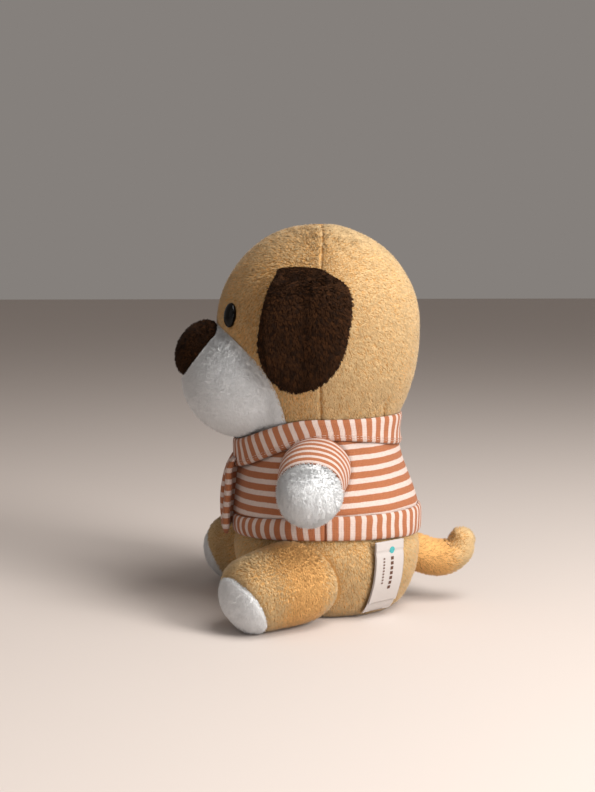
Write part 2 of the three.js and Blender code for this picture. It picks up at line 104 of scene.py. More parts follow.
def add_floor():
    reach = 6.0
    mesh = bpy.data.meshes.new("floor")
    corners = [(-reach, -reach, 0), (reach, -reach, 0), (reach, reach, 0), (-reach, reach, 0)]
    mesh.from_pydata(corners, [], [(0, 1, 2, 3)])
    material, shader = new_material("floor_pale", (0.66, 0.59, 0.55), 0.9)
    add_bump(material, shader, 1800, 0.05, 0.0002)
    mesh.materials.append(material)
    linked("floor", mesh)


def add_studio():
    world = bpy.data.worlds.new("studio")
    world.use_nodes = True
    sky = world.node_tree.nodes["Background"].inputs
    sky["Color"].default_value = (0.98, 0.90, 0.84, 1)
    sky["Strength"].default_value = 0.24
    bpy.context.scene.world = world
    bpy.context.scene.view_settings.view_transform = "Standard"
    add_light("key", (0.80, 0.80, 0.66), 0.5, 14.5, (1.0, 0.97, 0.93))
    add_light("top", (0.42, 0.38, 1.1), 0.8, 10, (1.0, 0.98, 0.95))
    add_light("low", (0.92, 0.46, 0.12), 0.5, 3.0, (0.98, 1.0, 1.0))
    add_light("fill", (0.95, -0.75, 0.45), 1.2, 1.0, (1.0, 0.96, 0.94))


# ---- materials ----
def new_material(name, colour, roughness, sheen=0.0, specular=0.3):
    material = bpy.data.materials.new(name)
    material.use_nodes = True
    shader = material.node_tree.nodes["Principled BSDF"]
    shader.inputs["Base Color"].default_value = (*colour, 1)
    shader.inputs["Roughness"].default_value = roughness
    shader.inputs["Specular IOR Level"].default_value = specular
    shader.inputs["Sheen Weight"].default_value = sheen
    shader.inputs["Sheen Roughness"].default_value = 0.45
    shader.inputs["Sheen Tint"].default_value = (*[0.4 + 0.6 * c for c in colour], 1)
    return material, shader


def wire(material, source, socket):
    material.node_tree.links.new(source, socket)


def noise(material, scale, detail=3.0):
    nodes = material.node_tree.nodes
    place = nodes.new("ShaderNodeTexCoord")
    texture = nodes.new("ShaderNodeTexNoise")
    texture.inputs["Scale"].default_value = scale
    texture.inputs["Detail"].default_value = detail
    wire(material, place.outputs["Object"], texture.inputs["Vector"])
    return texture.outputs["Fac"]


def bump_from(material, shader, height, strength, distance):
    bump = material.node_tree.nodes.new("ShaderNodeBump")
    bump.inputs["Strength"].default_value = strength
    bump.inputs["Distance"].default_value = distance
    wire(material, height, bump.inputs["Height"])
    wire(material, bump.outputs["Normal"], shader.inputs["Normal"])


def add_bump(material, shader, scale, strength, distance):
    bump_from(material, shader, noise(material, scale), strength, distance)


def spread(material, value, low, high):
    node = material.node_tree.nodes.new("ShaderNodeMapRange")
    node.inputs["To Min"].default_value = low
    node.inputs["To Max"].default_value = high
    wire(material, value, node.inputs["Value"])
    return node.outputs["Result"]


def vary_roughness(material, shader, scale, low, high):
    rough = spread(material, noise(material, scale), low, high)
    wire(material, rough, shader.inputs["Roughness"])


def maths(material, operation, a, b=None, clamp=False):
    node = material.node_tree.nodes.new("ShaderNodeMath")
    node.operation = operation
    node.use_clamp = clamp
    for socket, value in zip(node.inputs, (a, b)):
        if isinstance(value, bpy.types.NodeSocket):
            wire(material, value, socket)
        elif value is not None:
            socket.default_value = value
    return node.outputs[0]


def mixed(material, a, b, factor, blend="MIX"):
    """A colour mix. Each of a, b and factor is a socket or a constant."""
    node = material.node_tree.nodes.new("ShaderNodeMix")
    node.data_type = "RGBA"
    node.blend_type = blend
    for name, value in (("A", a), ("B", b), ("Factor", factor)):
        socket = [s for s in node.inputs if s.name == name and s.enabled][0]
        if isinstance(value, bpy.types.NodeSocket):
            wire(material, value, socket)
        else:
            socket.default_value = value
    return [s for s in node.outputs if s.enabled][0]


def fibre_shades(name, tones, sheen):
    """Fibre materials of one plush: for each of its tones a middle, a light and a dark one."""
    shades = []
    for label, colour, step in tones:
        for shade, factor in (("mid", 1.0), ("light", 1 + step), ("dark", 1 - step)):
            tone = tuple(min(0.95, c * factor) for c in colour)
            material, shader = new_material(f"{name}_{label}_{shade}", tone, 0.85, sheen, 0.15)
            vary_roughness(material, shader, 900, 0.75, 0.95)
            shades.append(material)
    return shades


def plush_ground(name, colour, depth):
    """The knitted ground between the fibres, darkened by `depth` as painted shade of the deep pile."""
    material, shader = new_material(f"{name}_ground", tuple(c * depth for c in colour), 0.95, 0.1, 0.1)
    tone = spread(material, noise(material, 500, 4.0), 0.8, 1.2)
    ground = mixed(material, (*[c * depth for c in colour], 1), tone, 1.0, "MULTIPLY")
    wire(material, ground, shader.inputs["Base Color"])
    add_bump(material, shader, 1400, 0.6, 0.0006)
    return material


KNIT_PITCH = 0.9
STRIPE_EDGE = 14        # how steeply a stripe turns from one colour to the other
# painted shade: the colour that creases, seams and folded edges of the cloth darken towards
CREASE_SHADE = (0.07, 0.018, 0.008)


def striped_cloth(name, period, across, first):
    """Jersey with crisp stripes that count along u (across = 0) or v (across = 1) of its cloth coordinates.

    `first` shifts the stripes by a share of their period. The third cloth coordinate is painted shade: it
    darkens creases, seams and folded edges towards CREASE_SHADE, from 0 for none to 1 for a deep one.
    """
    material, shader = new_material(name, TERRACOTTA, 0.85, 0.25, 0.22)
    cloth = material.node_tree.nodes.new("ShaderNodeAttribute")
    cloth.attribute_name = "cloth"
    split = material.node_tree.nodes.new("ShaderNodeSeparateXYZ")
    wire(material, cloth.outputs["Vector"], split.inputs["Vector"])
    wander = maths(material, "MULTIPLY", noise(material, 260), 0.5)
    along = maths(material, "ADD", split.outputs[across], wander)
    phase = maths(material, "FRACT", maths(material, "ADD", maths(material, "DIVIDE", along, period), first))
    # 0 in the dark half of each period and 1 in the pale half, with a short soft edge on both sides
    rise = maths(material, "MULTIPLY", maths(material, "SUBTRACT", phase, 0.5), STRIPE_EDGE, True)
    fall = maths(material, "MULTIPLY", maths(material, "SUBTRACT", 1.0, phase), STRIPE_EDGE, True)
    stripes = mixed(material, (*TERRACOTTA, 1), (*CREAM, 1), maths(material, "MULTIPLY", rise, fall, True))
    worn = mixed(material, stripes, spread(material, noise(material, 700, 5), 0.84, 1.1), 1.0, "MULTIPLY")
    # painted shade: the third cloth coordinate blends the worn stripes towards CREASE_SHADE
    painted_crease_shade = maths(material, "MULTIPLY", split.outputs[2], 0.8, True)
    wire(material, mixed(material, worn, (*CREASE_SHADE, 1), painted_crease_shade), shader.inputs["Base Color"])
    ridge = TURN / KNIT_PITCH
    wale = maths(material, "SINE", maths(material, "MULTIPLY", split.outputs[1 - across], ridge))
    course = maths(material, "SINE", maths(material, "MULTIPLY", split.outputs[across], ridge))
    rough = maths(material, "MULTIPLY", noise(material, 900), 3.0)
    height = maths(material, "ADD", maths(material, "ADD", wale, course), rough)
    bump_from(material, shader, height, 0.35, 0.0001)
    return material


# ---- surfaces ----
PILE_SINK = 0.9     # a skin lies this far inside the frame's surface, and its pile makes it up
DEEPEST = 1.85      # no skin goes deeper than this, since the filling starts at 2.1


def circle(count):
    """Even angles round a full turn."""
    return np.linspace(0, TURN, count, endpoint=False)


def unit(v):
    return v / np.maximum(np.linalg.norm(v, axis=-1, keepdims=True), 1e-9)


def smooth(t):
    u = np.clip(t, 0, 1)
    return u * u * (3 - 2 * u)


def catmull_rom(a, b, c, d, t):
    """A smooth curve from b (t = 0) to c (t = 1), with a and d the points before and after."""
    bend, twist = 2 * a - 5 * b + 4 * c - d, 3 * b - a - 3 * c + d
    return 0.5 * (2 * b + (c - a) * t + bend * t ** 2 + twist * t ** 3)


def hump(distance, width):
    return np.exp(-(distance / width) ** 2)


def ripple(points, wavelength, amount, seed):
    """Soft lumps: a few long waves in fixed directions."""
    random = np.random.default_rng(seed)
    way = unit(random.normal(size=(7, 3)))
    start = random.uniform(0, TURN, 7)
    stretch = random.uniform(0.7, 1.5, 7)
    waves = np.sin(points @ way.T * TURN / wavelength * stretch + start)
    return amount * waves.sum(-1) / math.sqrt(7)


def normals_of(rows, middle, wrap):
    """Normals of a grid of points, facing away from `middle`."""
    down = np.gradient(rows, axis=0)
    if wrap:
        across = np.roll(rows, -1, 1) - np.roll(rows, 1, 1)
    else:
        across = np.gradient(rows, axis=1)
    n = unit(np.cross(down, across))
    flip = np.sign((n * (rows - np.asarray(middle))).sum(-1).mean())
    return n * (flip if flip else 1)


def sunk(rows, out, dent):
    return rows - out * np.minimum(PILE_SINK + dent, DEEPEST)[..., None]


def lofted(rows, wrap=True, cap_first=False, cap_last=False):
    """Points and faces of a surface through rows of points; a cap is a fan round an added middle."""
    rows = np.asarray(rows, float)
    count, across = rows.shape[:2]
    points = rows.reshape(-1, 3)
    i = np.arange(across if wrap else across - 1)
    j = (i + 1) % across
    faces = []
    for r in range(count - 1):
        a, b = r * across, (r + 1) * across
        faces += np.stack([a + i, a + j, b + j, b + i], 1).tolist()
    for end, wanted in ((0, cap_first), (count - 1, cap_last)):
        if wanted:
            middle = len(points)
            points = np.vstack([points, rows[end].mean(0)])
            fan = np.stack([end * across + i, end * across + j, np.full(len(i), middle)], 1)
            faces += (fan[:, ::-1] if end == 0 else fan).tolist()
    return points, faces


def build(name, points, faces, materials, middle=None, cloth=None, lap=None):
    """A mesh object. Its faces look away from `middle`; cloth coordinates jump by `lap` where u closes up."""
    if middle is not None:
        a, b, c = (np.array([points[f[k]] for f in faces[::7]]) for k in (0, 1, 2))
        facing = (np.cross(b - a, c - a) * ((a + b + c) / 3 - np.asarray(middle))).sum()
        if facing < 0:
            faces = [face[::-1] for face in faces]
    mesh = bpy.data.meshes.new(name)
    mesh.from_pydata((np.asarray(points) * MM).tolist(), [], faces)
    mesh.polygons.foreach_set("use_smooth", np.ones(len(faces), bool))
    for material in materials:
        mesh.materials.append(material)
    if cloth is not None:
        full = np.zeros((len(points), 3))
        full[:len(cloth), :cloth.shape[1]] = cloth
        corners = []
        for face in faces:
            value = full[list(face)]
            if lap:
                value[:, 0] += lap * (value[:, 0] < value[:, 0].max() - lap / 2)
            corners.append(value)
        attribute = mesh.attributes.new("cloth", "FLOAT_VECTOR", "CORNER")
        attribute.data.foreach_set("vector", np.vstack(corners).astype(np.float32).ravel())
    mesh.update()
    return linked(name, mesh)


def weld(piece):
    """Merges doubled rows and turns the faces outwards."""
    shape = bmesh.new()
    shape.from_mesh(piece.data)
    bmesh.ops.remove_doubles(shape, verts=shape.verts, dist=1e-6)
    bmesh.ops.recalc_face_normals(shape, faces=shape.faces)
    shape.to_mesh(piece.data)
    shape.free()


# ---- pile ----
# density in fibres per square millimetre, length and width in millimetres, lean in degrees off the skin's
# normal, tangle the spread of directions, clump how far tips draw together, tuft the spacing of the tufts
Pile = namedtuple("Pile", "density length width lean tangle clump tuft")
TAN_PILE = Pile(4.2, 1.7, 0.42, 44, 0.3, 0.5, 1.4)
WHITE_PILE = Pile(4.4, 1.8, 0.40, 38, 0.3, 0.25, 1.3)
FLUFFY_PILE = Pile(5.0, 2.3, 0.40, 32, 0.45, 0.4, 1.5)
BROWN_PILE = Pile(3.8, 2.5, 0.50, 44, 0.4, 0.7, 1.6)
ROOT_DEPTH = 0.3                        # how far a fibre starts below the skin
FLOOR_TIP, FLOOR_FOOT = 0.15, 0.1       # lowest heights of a fibre's tip and foot above the floor


def skin_samples(skin, density, random):
    """Even random points on a mesh and the smooth normals there."""
    mesh = skin.data
    mesh.calc_loop_triangles()

    def triples(source, attribute, kind=float):
        values = np.empty(len(source) * 3, kind)
        source.foreach_get(attribute, values)
        return values.reshape(-1, 3)

    place = triples(mesh.vertices, "co") / MM
    facing = triples(mesh.vertex_normals, "vector")
    corner = triples(mesh.loop_triangles, "vertices", np.int32)
    a, b, c = (place[corner[:, k]] for k in range(3))
    area = np.linalg.norm(np.cross(b - a, c - a), axis=1) / 2
    total = int(area.sum() * density * (1))
    pick = random.choice(len(corner), total, p=area / area.sum())
    u, v = np.sqrt(random.random(total)), random.random(total)
    share = np.stack([1 - u, u * (1 - v), u * v], 1)[:, :, None]
    return (place[corner[pick]] * share).sum(1), unit((facing[corner[pick]] * share).sum(1))


def nearest_tuft(root, pile, random):
    """For each fibre, the fibre at the heart of its tuft."""
    share = 1 / (pile.density * pile.tuft ** 2 * 1)
    hearts = np.flatnonzero(random.random(len(root)) < share)
    tree = kdtree.KDTree(len(hearts))
    for k, heart in enumerate(hearts):
        tree.insert(root[heart], k)
    tree.balance()
    return hearts[[tree.find(p)[1] for p in root]]


def grow_pile(name, skin, shades, pile, nap, seed, keep=None, trim=None, warm=None, clumpy=None):
    """Short fibres over a skin: thin three-sided spikes that lean along the nap and gather in tufts.

    keep leaves fibres out, trim shortens them, warm says how many take the second tone, and clumpy scales
    how strongly tufts form; each is a function of the fibres' roots.
    """
    random = np.random.default_rng(seed)
    root, up = skin_samples(skin, pile.density, random)
    if keep is not None:
        chosen = keep(root)
        root, up = root[chosen], up[chosen]
    total = len(root)
    way = nap(root) + random.normal(size=(total, 3)) * pile.tangle
    way += 0.12 * np.stack([ripple(root, 9, 1.0, seed + k) for k in (11, 12, 13)], 1)
    flow = unit(way - (way * up).sum(1, keepdims=True) * up)
    angle = np.radians(pile.lean + random.normal(size=total) * 9)[:, None]
    reach = pile.length * random.uniform(0.75, 1.2, total)
    if trim is not None:
        reach = reach * trim(root)
    tip = root + (up * np.cos(angle) + flow * np.sin(angle)) * reach[:, None]
    heart = nearest_tuft(root, pile, random)
    pull = pile.clump * random.uniform(0.55, 1.0, total)
    if clumpy is not None:
        pull = pull * clumpy(root)
    tip += (tip[heart] - tip) * pull[:, None]
    tip[:, 2] = np.maximum(tip[:, 2], FLOOR_TIP)
    direction = unit(tip - root)
    side = unit(np.cross(direction, up) + 1e-6)
    back = np.cross(side, direction)
    wide = (pile.width * random.uniform(0.75, 1.25, total))[:, None] * 1
    foot = root - up * ROOT_DEPTH
    corners = np.stack([foot + side * wide * 0.5, foot - side * wide * 0.5, foot + back * wide * 0.7, tip], 1)
    corners[..., 2] = np.maximum(corners[..., 2], FLOOR_FOOT)
    normals = np.stack([unit(up + side * 0.4), unit(up - side * 0.4), unit(up + back * 0.3),
                        unit(up * 0.65 + direction * 0.35)], 1)
    first = np.arange(total)[:, None, None] * 4
    sides = np.array([[0, 2, 1], [0, 1, 3], [1, 2, 3], [2, 0, 3]])
    faces = (first + sides[None]).reshape(-1, 3)
    value = random.normal(size=total)[heart] * 0.85 + random.normal(size=total) * 0.6
    shade = np.where(value > 0.75, 1, np.where(value < -0.75, 2, 0))
    if warm is not None:
        shade = shade + 3 * (random.random(total) < warm(root))
    mesh = bpy.data.meshes.new(name)
    mesh.vertices.add(total * 4)
    mesh.vertices.foreach_set("co", (corners.reshape(-1, 3) * MM).astype(np.float32).ravel())
    mesh.loops.add(len(faces) * 3)
    mesh.loops.foreach_set("vertex_index", faces.astype(np.int32).ravel())
    mesh.polygons.add(len(faces))
    mesh.polygons.foreach_set("loop_start", np.arange(0, len(faces) * 3, 3, dtype=np.int32))
    mesh.polygons.foreach_set("use_smooth", np.ones(len(faces), bool))
    mesh.polygons.foreach_set("material_index", np.repeat(shade, 4).astype(np.int32))
    for material in shades:
        mesh.materials.append(material)
    mesh.update(calc_edges=True)
    mesh.normals_split_custom_set_from_vertices(normals.reshape(-1, 3).tolist())
    return linked(name, mesh)


def steady(way):
    return lambda p: np.tile(way, (len(p), 1))


def ride(body, slot, *things):
    for thing in things:
        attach(thing, body)


def upholster(node):
    """Hides a node; the caller builds the padded skin that takes its place."""
    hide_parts(node)


# ---- the body's outline, as in the frame ----
TORSO = np.array([
    [0, 1, 33.5, 34.5], [1.7, 1, 38, 39], [6.5, 1, 42.6, 43.6], [13.3, 1, 46.3, 47.3],
    [21.5, 1, 49.4, 50.4], [30.8, 0.8, 51, 52], [38.5, 0.7, 51.2, 51.9], [42, 0.6, 48.6, 50.2],
    [46, 0.6, 47.4, 49.8], [60, 0.6, 47.1, 49.6]])
GARMENT = np.array([
    [42, 0.6, 50, 52.6], [50, 0.6, 50.6, 53.2], [58.5, 0.6, 50.2, 52.7], [66.6, -0.4, 48.6, 50.4],
    [77, -1.3, 46.2, 47.5], [88, -3, 44.6, 45.4], [99, -4.5, 44.4, 44.9], [104, -4.5, 45, 45.4],
    [111, -4.5, 46.4, 46.8]])
SIDE_SEAM = math.radians(26)
HEAD_Y, HEAD_Z, HEAD_R, HEAD_DROP, HEAD_WIDE = -4.5, 157.5, 56.5, 81.0, 0.04
HEAD_LOW = 100.0


def outline(rows, z):
    """Centre y, half width and half depth of a section, eased over a few millimetres of height."""
    z = np.asarray(z, float)
    reach = np.minimum(3.0, np.maximum(z - rows[0, 0], 0))
    total = 0
    for step in np.linspace(-1, 1, 7):
        at = z + step * reach
        total = total + np.stack([np.interp(at, rows[:, 0], rows[:, k]) for k in (1, 2, 3)], -1) / 7
    return total


def around(rows, z, a, grow=0.0):
    cy, rx, ry = np.moveaxis(outline(rows, z), -1, 0)
    return np.stack([(rx + grow) * np.cos(a), cy + (ry + grow) * np.sin(a), np.broadcast_to(z, cy.shape)], -1)


def clear_of(rows, p):
    """Roughly how far outside a body of sections a point is, in millimetres."""
    cy, rx, ry = np.moveaxis(outline(rows, p[..., 2]), -1, 0)
    return (np.hypot(p[..., 0] / rx, (p[..., 1] - cy) / ry) - 1) * 50


def head_radius(z):
    upper = np.sqrt(np.maximum(0, HEAD_R ** 2 - np.maximum(0, z - HEAD_Z) ** 2))
    lower = HEAD_R * np.sqrt(np.maximum(0, 1 - (np.maximum(0, HEAD_Z - z) / HEAD_DROP) ** 2))
    return np.where(z > HEAD_Z, upper, lower)


def head_wide(z):
    return 1 + HEAD_WIDE * smooth((z - 110) / 25)


def outside_head(p):
    return np.hypot(p[..., 0] / head_wide(p[..., 2]), p[..., 1] - HEAD_Y) - head_radius(p[..., 2])


# ---- muzzle and nose outlines ----
MUZZLE_AT, MUZZLE_HALF = np.array([0, -43.4, 127.8]), np.array([42, 37, 32.6])
MUZZLE_SEAM = np.array([[90, -22], [98, -23.5], [108, -26], [117, -28.6], [124, -31.3], [131, -34.8],
                        [137, -39], [142, -43.4], [150, -51.6], [154, -56], [160, -63]])
NOSE_AT, NOSE_HALF, NOSE_TILT = np.array([0, -70.2, 144.6]), np.array([19, 13, 17.3]), math.radians(29)
EYE_X, EYE_Z, EYE_HALF = 27.0, 164.7, np.array([4.6, 3.0, 6.7])


def muzzle_seam_y(z):
    return np.interp(z, MUZZLE_SEAM[:, 0], MUZZLE_SEAM[:, 1])


def outside_muzzle(p):
    """How far outside the muzzle a point is. Its front melts into the round of the head at the cheeks."""
    front = (np.linalg.norm((p - MUZZLE_AT) / MUZZLE_HALF, axis=-1) - 1) * 35
    cheek = np.maximum(outside_head(p) - 0.3, 99.8 - p[..., 2])
    blend = 3.0
    h = np.clip(0.5 + 0.5 * (cheek - front) / blend, 0, 1)
    return cheek * (1 - h) + front * h - blend * h * (1 - h)


def outside_nose(p):
    return (np.linalg.norm(((p - NOSE_AT) @ turned_x(-NOSE_TILT)) / NOSE_HALF, axis=-1) - 1) * 16


def turned_x(angle):
    c, s = math.cos(angle), math.sin(angle)
    return np.array([[1, 0, 0], [0, c, -s], [0, s, c]])


def bisect(wanted, low, high, steps=36):
    """Where `wanted` turns from true to false between low and high."""
    for _ in range(steps):
        middle = (low + high) / 2
        go = wanted(middle)
        low, high = np.where(go, middle, low), np.where(go, high, middle)
    return low


def ball_way(t, a):
    """Directions t away from -Y, at the angle a round it."""
    return np.stack([np.sin(t) * np.cos(a), -np.cos(t) + 0 * a, np.sin(t) * np.sin(a)], -1)


CAP_EDGE = 1.3          # width of the dip along the edge of a domed panel


def cap(point, clear, reach, rows, across, middle, dent):
    """A domed panel: rows from the pole of `point` out to where `clear` fails, with a dipped edge."""
    a = circle(across)[None]
    edge = bisect(lambda t: clear(point(t, a)), np.zeros_like(a), np.full_like(a, reach))
    share = np.linspace(0.012, 1, rows)[:, None]
    p = point(edge * (share ** 0.9), a)
    run = np.cumsum(np.linalg.norm(np.diff(p, axis=0), axis=-1), 0)
    to_edge = run[-1] - np.vstack([np.zeros_like(run[:1]), run])
    return sunk(p, normals_of(p, middle, True), dent * hump(to_edge, CAP_EDGE))


# ---- head ----
HEAD_ROWS, HEAD_ACROSS = 110, 150
CROWN_Y, CROWN_SWEEP = -3.2, 5.0
DART_Y, DART_LOW, DART_HIGH = 29.0, 107.0, 119.0


def crown_seam_y(x):
    return CROWN_Y - CROWN_SWEEP * (x / HEAD_R) ** 2


def head_grid(back):
    """The back or front panel of the head, edge to edge along the crown seam."""
    lower = HEAD_LOW + (HEAD_Z - HEAD_LOW) * np.linspace(0, 1, HEAD_ROWS // 2, endpoint=False)
    upper = HEAD_Z + HEAD_R * np.sin(np.linspace(0, math.pi / 2, HEAD_ROWS // 2))
    z = np.minimum(np.concatenate([lower, upper]), HEAD_Z + HEAD_R * 0.9985)[:, None]
    radius = head_radius(z)
    seam = np.zeros_like(radius)
    for _ in range(12):
        x = head_wide(z) * radius * np.cos(seam)
        seam = np.arcsin(np.clip((crown_seam_y(x) - HEAD_Y) / radius, -1, 1))
    t = np.linspace(0, 1, HEAD_ACROSS)[None, :]
    u = 0.5 * t + 0.25 * (1 - np.cos(math.pi * t))
    angle = seam + (math.pi - 2 * seam) * u if back else math.pi - seam + (math.pi + 2 * seam) * u
    p = np.stack([head_wide(z) * radius * np.cos(angle), HEAD_Y + radius * np.sin(angle), z + 0 * angle], -1)
    out = normals_of(p, (0, HEAD_Y, HEAD_Z - 10), False)
    dent = 0.95 * hump(p[..., 1] - crown_seam_y(p[..., 0]), 0.8) - 0.15 + ripple(p, 34, 0.2, 5)
    if back:
        dart = np.hypot(p[..., 1] - DART_Y, np.maximum(0, np.abs(p[..., 2] - (DART_LOW + DART_HIGH) / 2) - 5))
        dent = dent + 0.7 * hump(dart, 1.3)
    else:
        dent = dent + 0.9 * hump((p[..., 1] - muzzle_seam_y(p[..., 2])) * 0.75, 1.4)
        socket = np.hypot(np.abs(p[..., 0]) - EYE_X, p[..., 2] - EYE_Z)
        dent = dent + 0.8 * hump(socket, 7) * (p[..., 1] < -30)
    return sunk(p, out, dent)


def head_nap(p):
    """Down over the back and sides, forward and down over the brow."""
    brow = smooth((p[:, 2] - 165) / 40) * smooth((-p[:, 1] + 5) / 30)
    return np.stack([0.15 * np.sign(p[:, 0]), -0.5 * brow + 0.25 * (1 - brow), -1 + 0.3 * brow], 1)


def make_head(tan):
    shades, ground = tan
    pricks = np.random.default_rng(9).uniform(100, 214, 46)

    def keep(root):
        low_enough = (root[:, 2] > 103) & (root[:, 2] < 213)
        ahead = (root[:, 1] < -15) & (root[:, 1] < muzzle_seam_y(root[:, 2]) + 0.4)
        gap = np.hypot((np.abs(root[:, 0]) - EYE_X) / 4.4, (root[:, 2] - EYE_Z) / 6.0)
        on_eye = (gap < 1) & (root[:, 1] < -30)
        from_seam = np.abs(root[:, 1] - crown_seam_y(root[:, 0]))
        hole = np.abs(root[:, 2, None] - pricks[None]).min(1) < 0.8
        bare = (from_seam < 0.15) | (hole & (from_seam < 0.9))
        in_dart = (np.abs(root[:, 1] - DART_Y) < 0.6) & (root[:, 2] > DART_LOW) & (root[:, 2] < DART_HIGH)
        return low_enough & ~ahead & ~on_eye & ~bare & ~(in_dart & (np.sin(root[:, 2] * 2.1) > -0.2))

    def trim(root):
        near = np.minimum(np.abs(root[:, 1] - crown_seam_y(root[:, 0])), 2.0)
        return 0.55 + 0.45 * smooth(near / 1.6)

    def rough(root):
        """The pile lies smooth over the back of the head and coarse in front and low down."""
        front = smooth((crown_seam_y(root[:, 0]) - root[:, 1]) / 2 + 0.5)
        return 0.3 + 0.45 * np.maximum(front, smooth((150 - root[:, 2]) / 30))

    # more fibres on the front take the warm tone as painted shade, for the deeper colour of the front in
    # shade; the ripple spreads the tone at random
    def warm(root):
        front = smooth((crown_seam_y(root[:, 0]) - root[:, 1] + 4) / 14)
        return np.clip(0.05 + 0.3 * front + ripple(root, 40, 0.08, 3), 0, 1)

    for name, back in (("head_back", True), ("head_front", False)):
        points, faces = lofted(head_grid(back), wrap=False)
        if not back:
            inside = points[:, 1] < muzzle_seam_y(points[:, 2]) - 0.7
            faces = [f for f in faces if not all(inside[k] for k in f)]
        skin = build(f"{name}_panel", points, faces, [ground], (0, HEAD_Y, HEAD_Z - 20))
        pile = grow_pile(f"{name}_pile", skin, shades, TAN_PILE, head_nap, 21 if back else 22, keep, trim,
                         warm, rough)
        upholster("head_skin_back" if back else "head_skin_front")
        ride("head", "tan_plush", skin, pile)


def make_muzzle(white):
    shades, ground = white
    heart = np.array([0, -32.0, 127.0])

    def point(t, a):
        way = ball_way(t, a)
        far = bisect(lambda d: outside_muzzle(heart + way * d[..., None]) < 0, np.full(way.shape[:-1], 4.0),
                     np.full(way.shape[:-1], 80.0), 26)
        return heart + way * far[..., None]

    rows = cap(point, lambda p: p[..., 1] < muzzle_seam_y(p[..., 2]) + 0.5, 2.6, 70, 130, heart, 0.3)
    points, faces = lofted(rows, cap_first=True)
    skin = build("muzzle_panel", points, faces, [ground], heart)

    def nap(p):
        return (p - NOSE_AT) * 0.035 + np.array([0, 0.15, -0.6])

    def keep(root):
        return (outside_nose(root) > 0.2) & (root[:, 2] > collar_top_at(root) + 1.0)

    pile = grow_pile("muzzle_pile", skin, shades, WHITE_PILE, nap, 31, keep)
    upholster("muzzle_skin")
    ride("head", "white_plush", skin, pile)


def ellipsoid_point(at, half, turn):
    def point(t, a):
        return (ball_way(t, a) * half) @ turn.T + at
    return point


def make_nose(brown):
    shades, ground = brown
    rows = cap(ellipsoid_point(NOSE_AT, NOSE_HALF, turned_x(-NOSE_TILT)),
               lambda p: (outside_muzzle(p) > -0.6) & (outside_head(p) > -0.6), math.pi, 40, 84, NOSE_AT, 0.6)
    points, faces = lofted(rows, cap_first=True)
    skin = build("nose_panel", points, faces, [ground], NOSE_AT)
    pile = grow_pile("nose_pile", skin, shades, BROWN_PILE._replace(length=1.9), steady([0, 0.2, -0.7]), 41)
    upholster("nose_skin")
    ride("head", "brown_plush", skin, pile)


def make_eyes():
    material, shader = new_material("eye_plastic_black", (0.003, 0.0027, 0.0025), 0.12, 0.0, 0.16)
    vary_roughness(material, shader, 60, 0.09, 0.15)
    for side, name in SIDES:
        y = HEAD_Y - math.sqrt(head_radius(np.array(EYE_Z)) ** 2 - (EYE_X / (1 + HEAD_WIDE)) ** 2)
        out = unit(np.array([side * EYE_X, y - HEAD_Y, EYE_Z - HEAD_Z]))
        at = np.array([side * EYE_X, y, EYE_Z]) - out * 0.2
        across = unit(np.cross([0, 0, 1], out))
        turn = np.stack([across, -out, np.cross(out, across)], 1)
        a = circle(48)[None]
        t = np.linspace(0.04, math.radians(165), 28)[:, None]
        points, faces = lofted(ellipsoid_point(at, EYE_HALF, turn)(t, a), cap_first=True, cap_last=True)
        dome = build(f"eye_{name}_dome", points, faces, [material], at)
        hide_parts(f"eye_{name}")
        ride("head", "eye_plastic", dome)


# ---- ears ----
EAR = [(-27.3, 189.9), (-9.5, 189.7), (-2, 186), (4.6, 181.6), (7.8, 174), (7, 162), (4.6, 150), (0.8, 140),
       (-6.5, 131.2), (-18, 126), (-28.5, 128.4), (-37, 137.4), (-40.2, 150), (-38.8, 164), (-35.6, 176.5),
       (-31, 185.6)]
EAR_MIDDLE = np.array([-16, 158])
EAR_HALF = 4.0
EAR_GROOVE = 0.93


def closed_curve(points, count):
    """A smooth closed curve through a few points."""
    p = np.asarray(points, float)
    s = np.linspace(0, len(p), count, endpoint=False)
    k = s.astype(int)
    t = (s - k)[:, None]
    a, b, c, d = (p[(k + step) % len(p)] for step in (-1, 0, 1, 2))
    return catmull_rom(a, b, c, d, t)


def head_side(y, z):
    return head_wide(z) * np.sqrt(np.maximum(0, head_radius(z) ** 2 - (y - HEAD_Y) ** 2))


def ear_surface(side, scale, depth, edge_line):
    y, z = np.moveaxis(EAR_MIDDLE + (edge_line - EAR_MIDDLE) * scale[..., None], -1, 0)
    thick = 1.6 + (EAR_HALF - 1.6) * smooth((190.5 - z) / 16)
    rest = np.maximum(head_side(-18 + 0 * y, z), head_side(y, z))
    x = rest + 0.6 + thick + 2.2 * smooth((158 - z) / 32)
    return np.stack([side * (x + depth * (thick - 0.5)), y, z], -1)


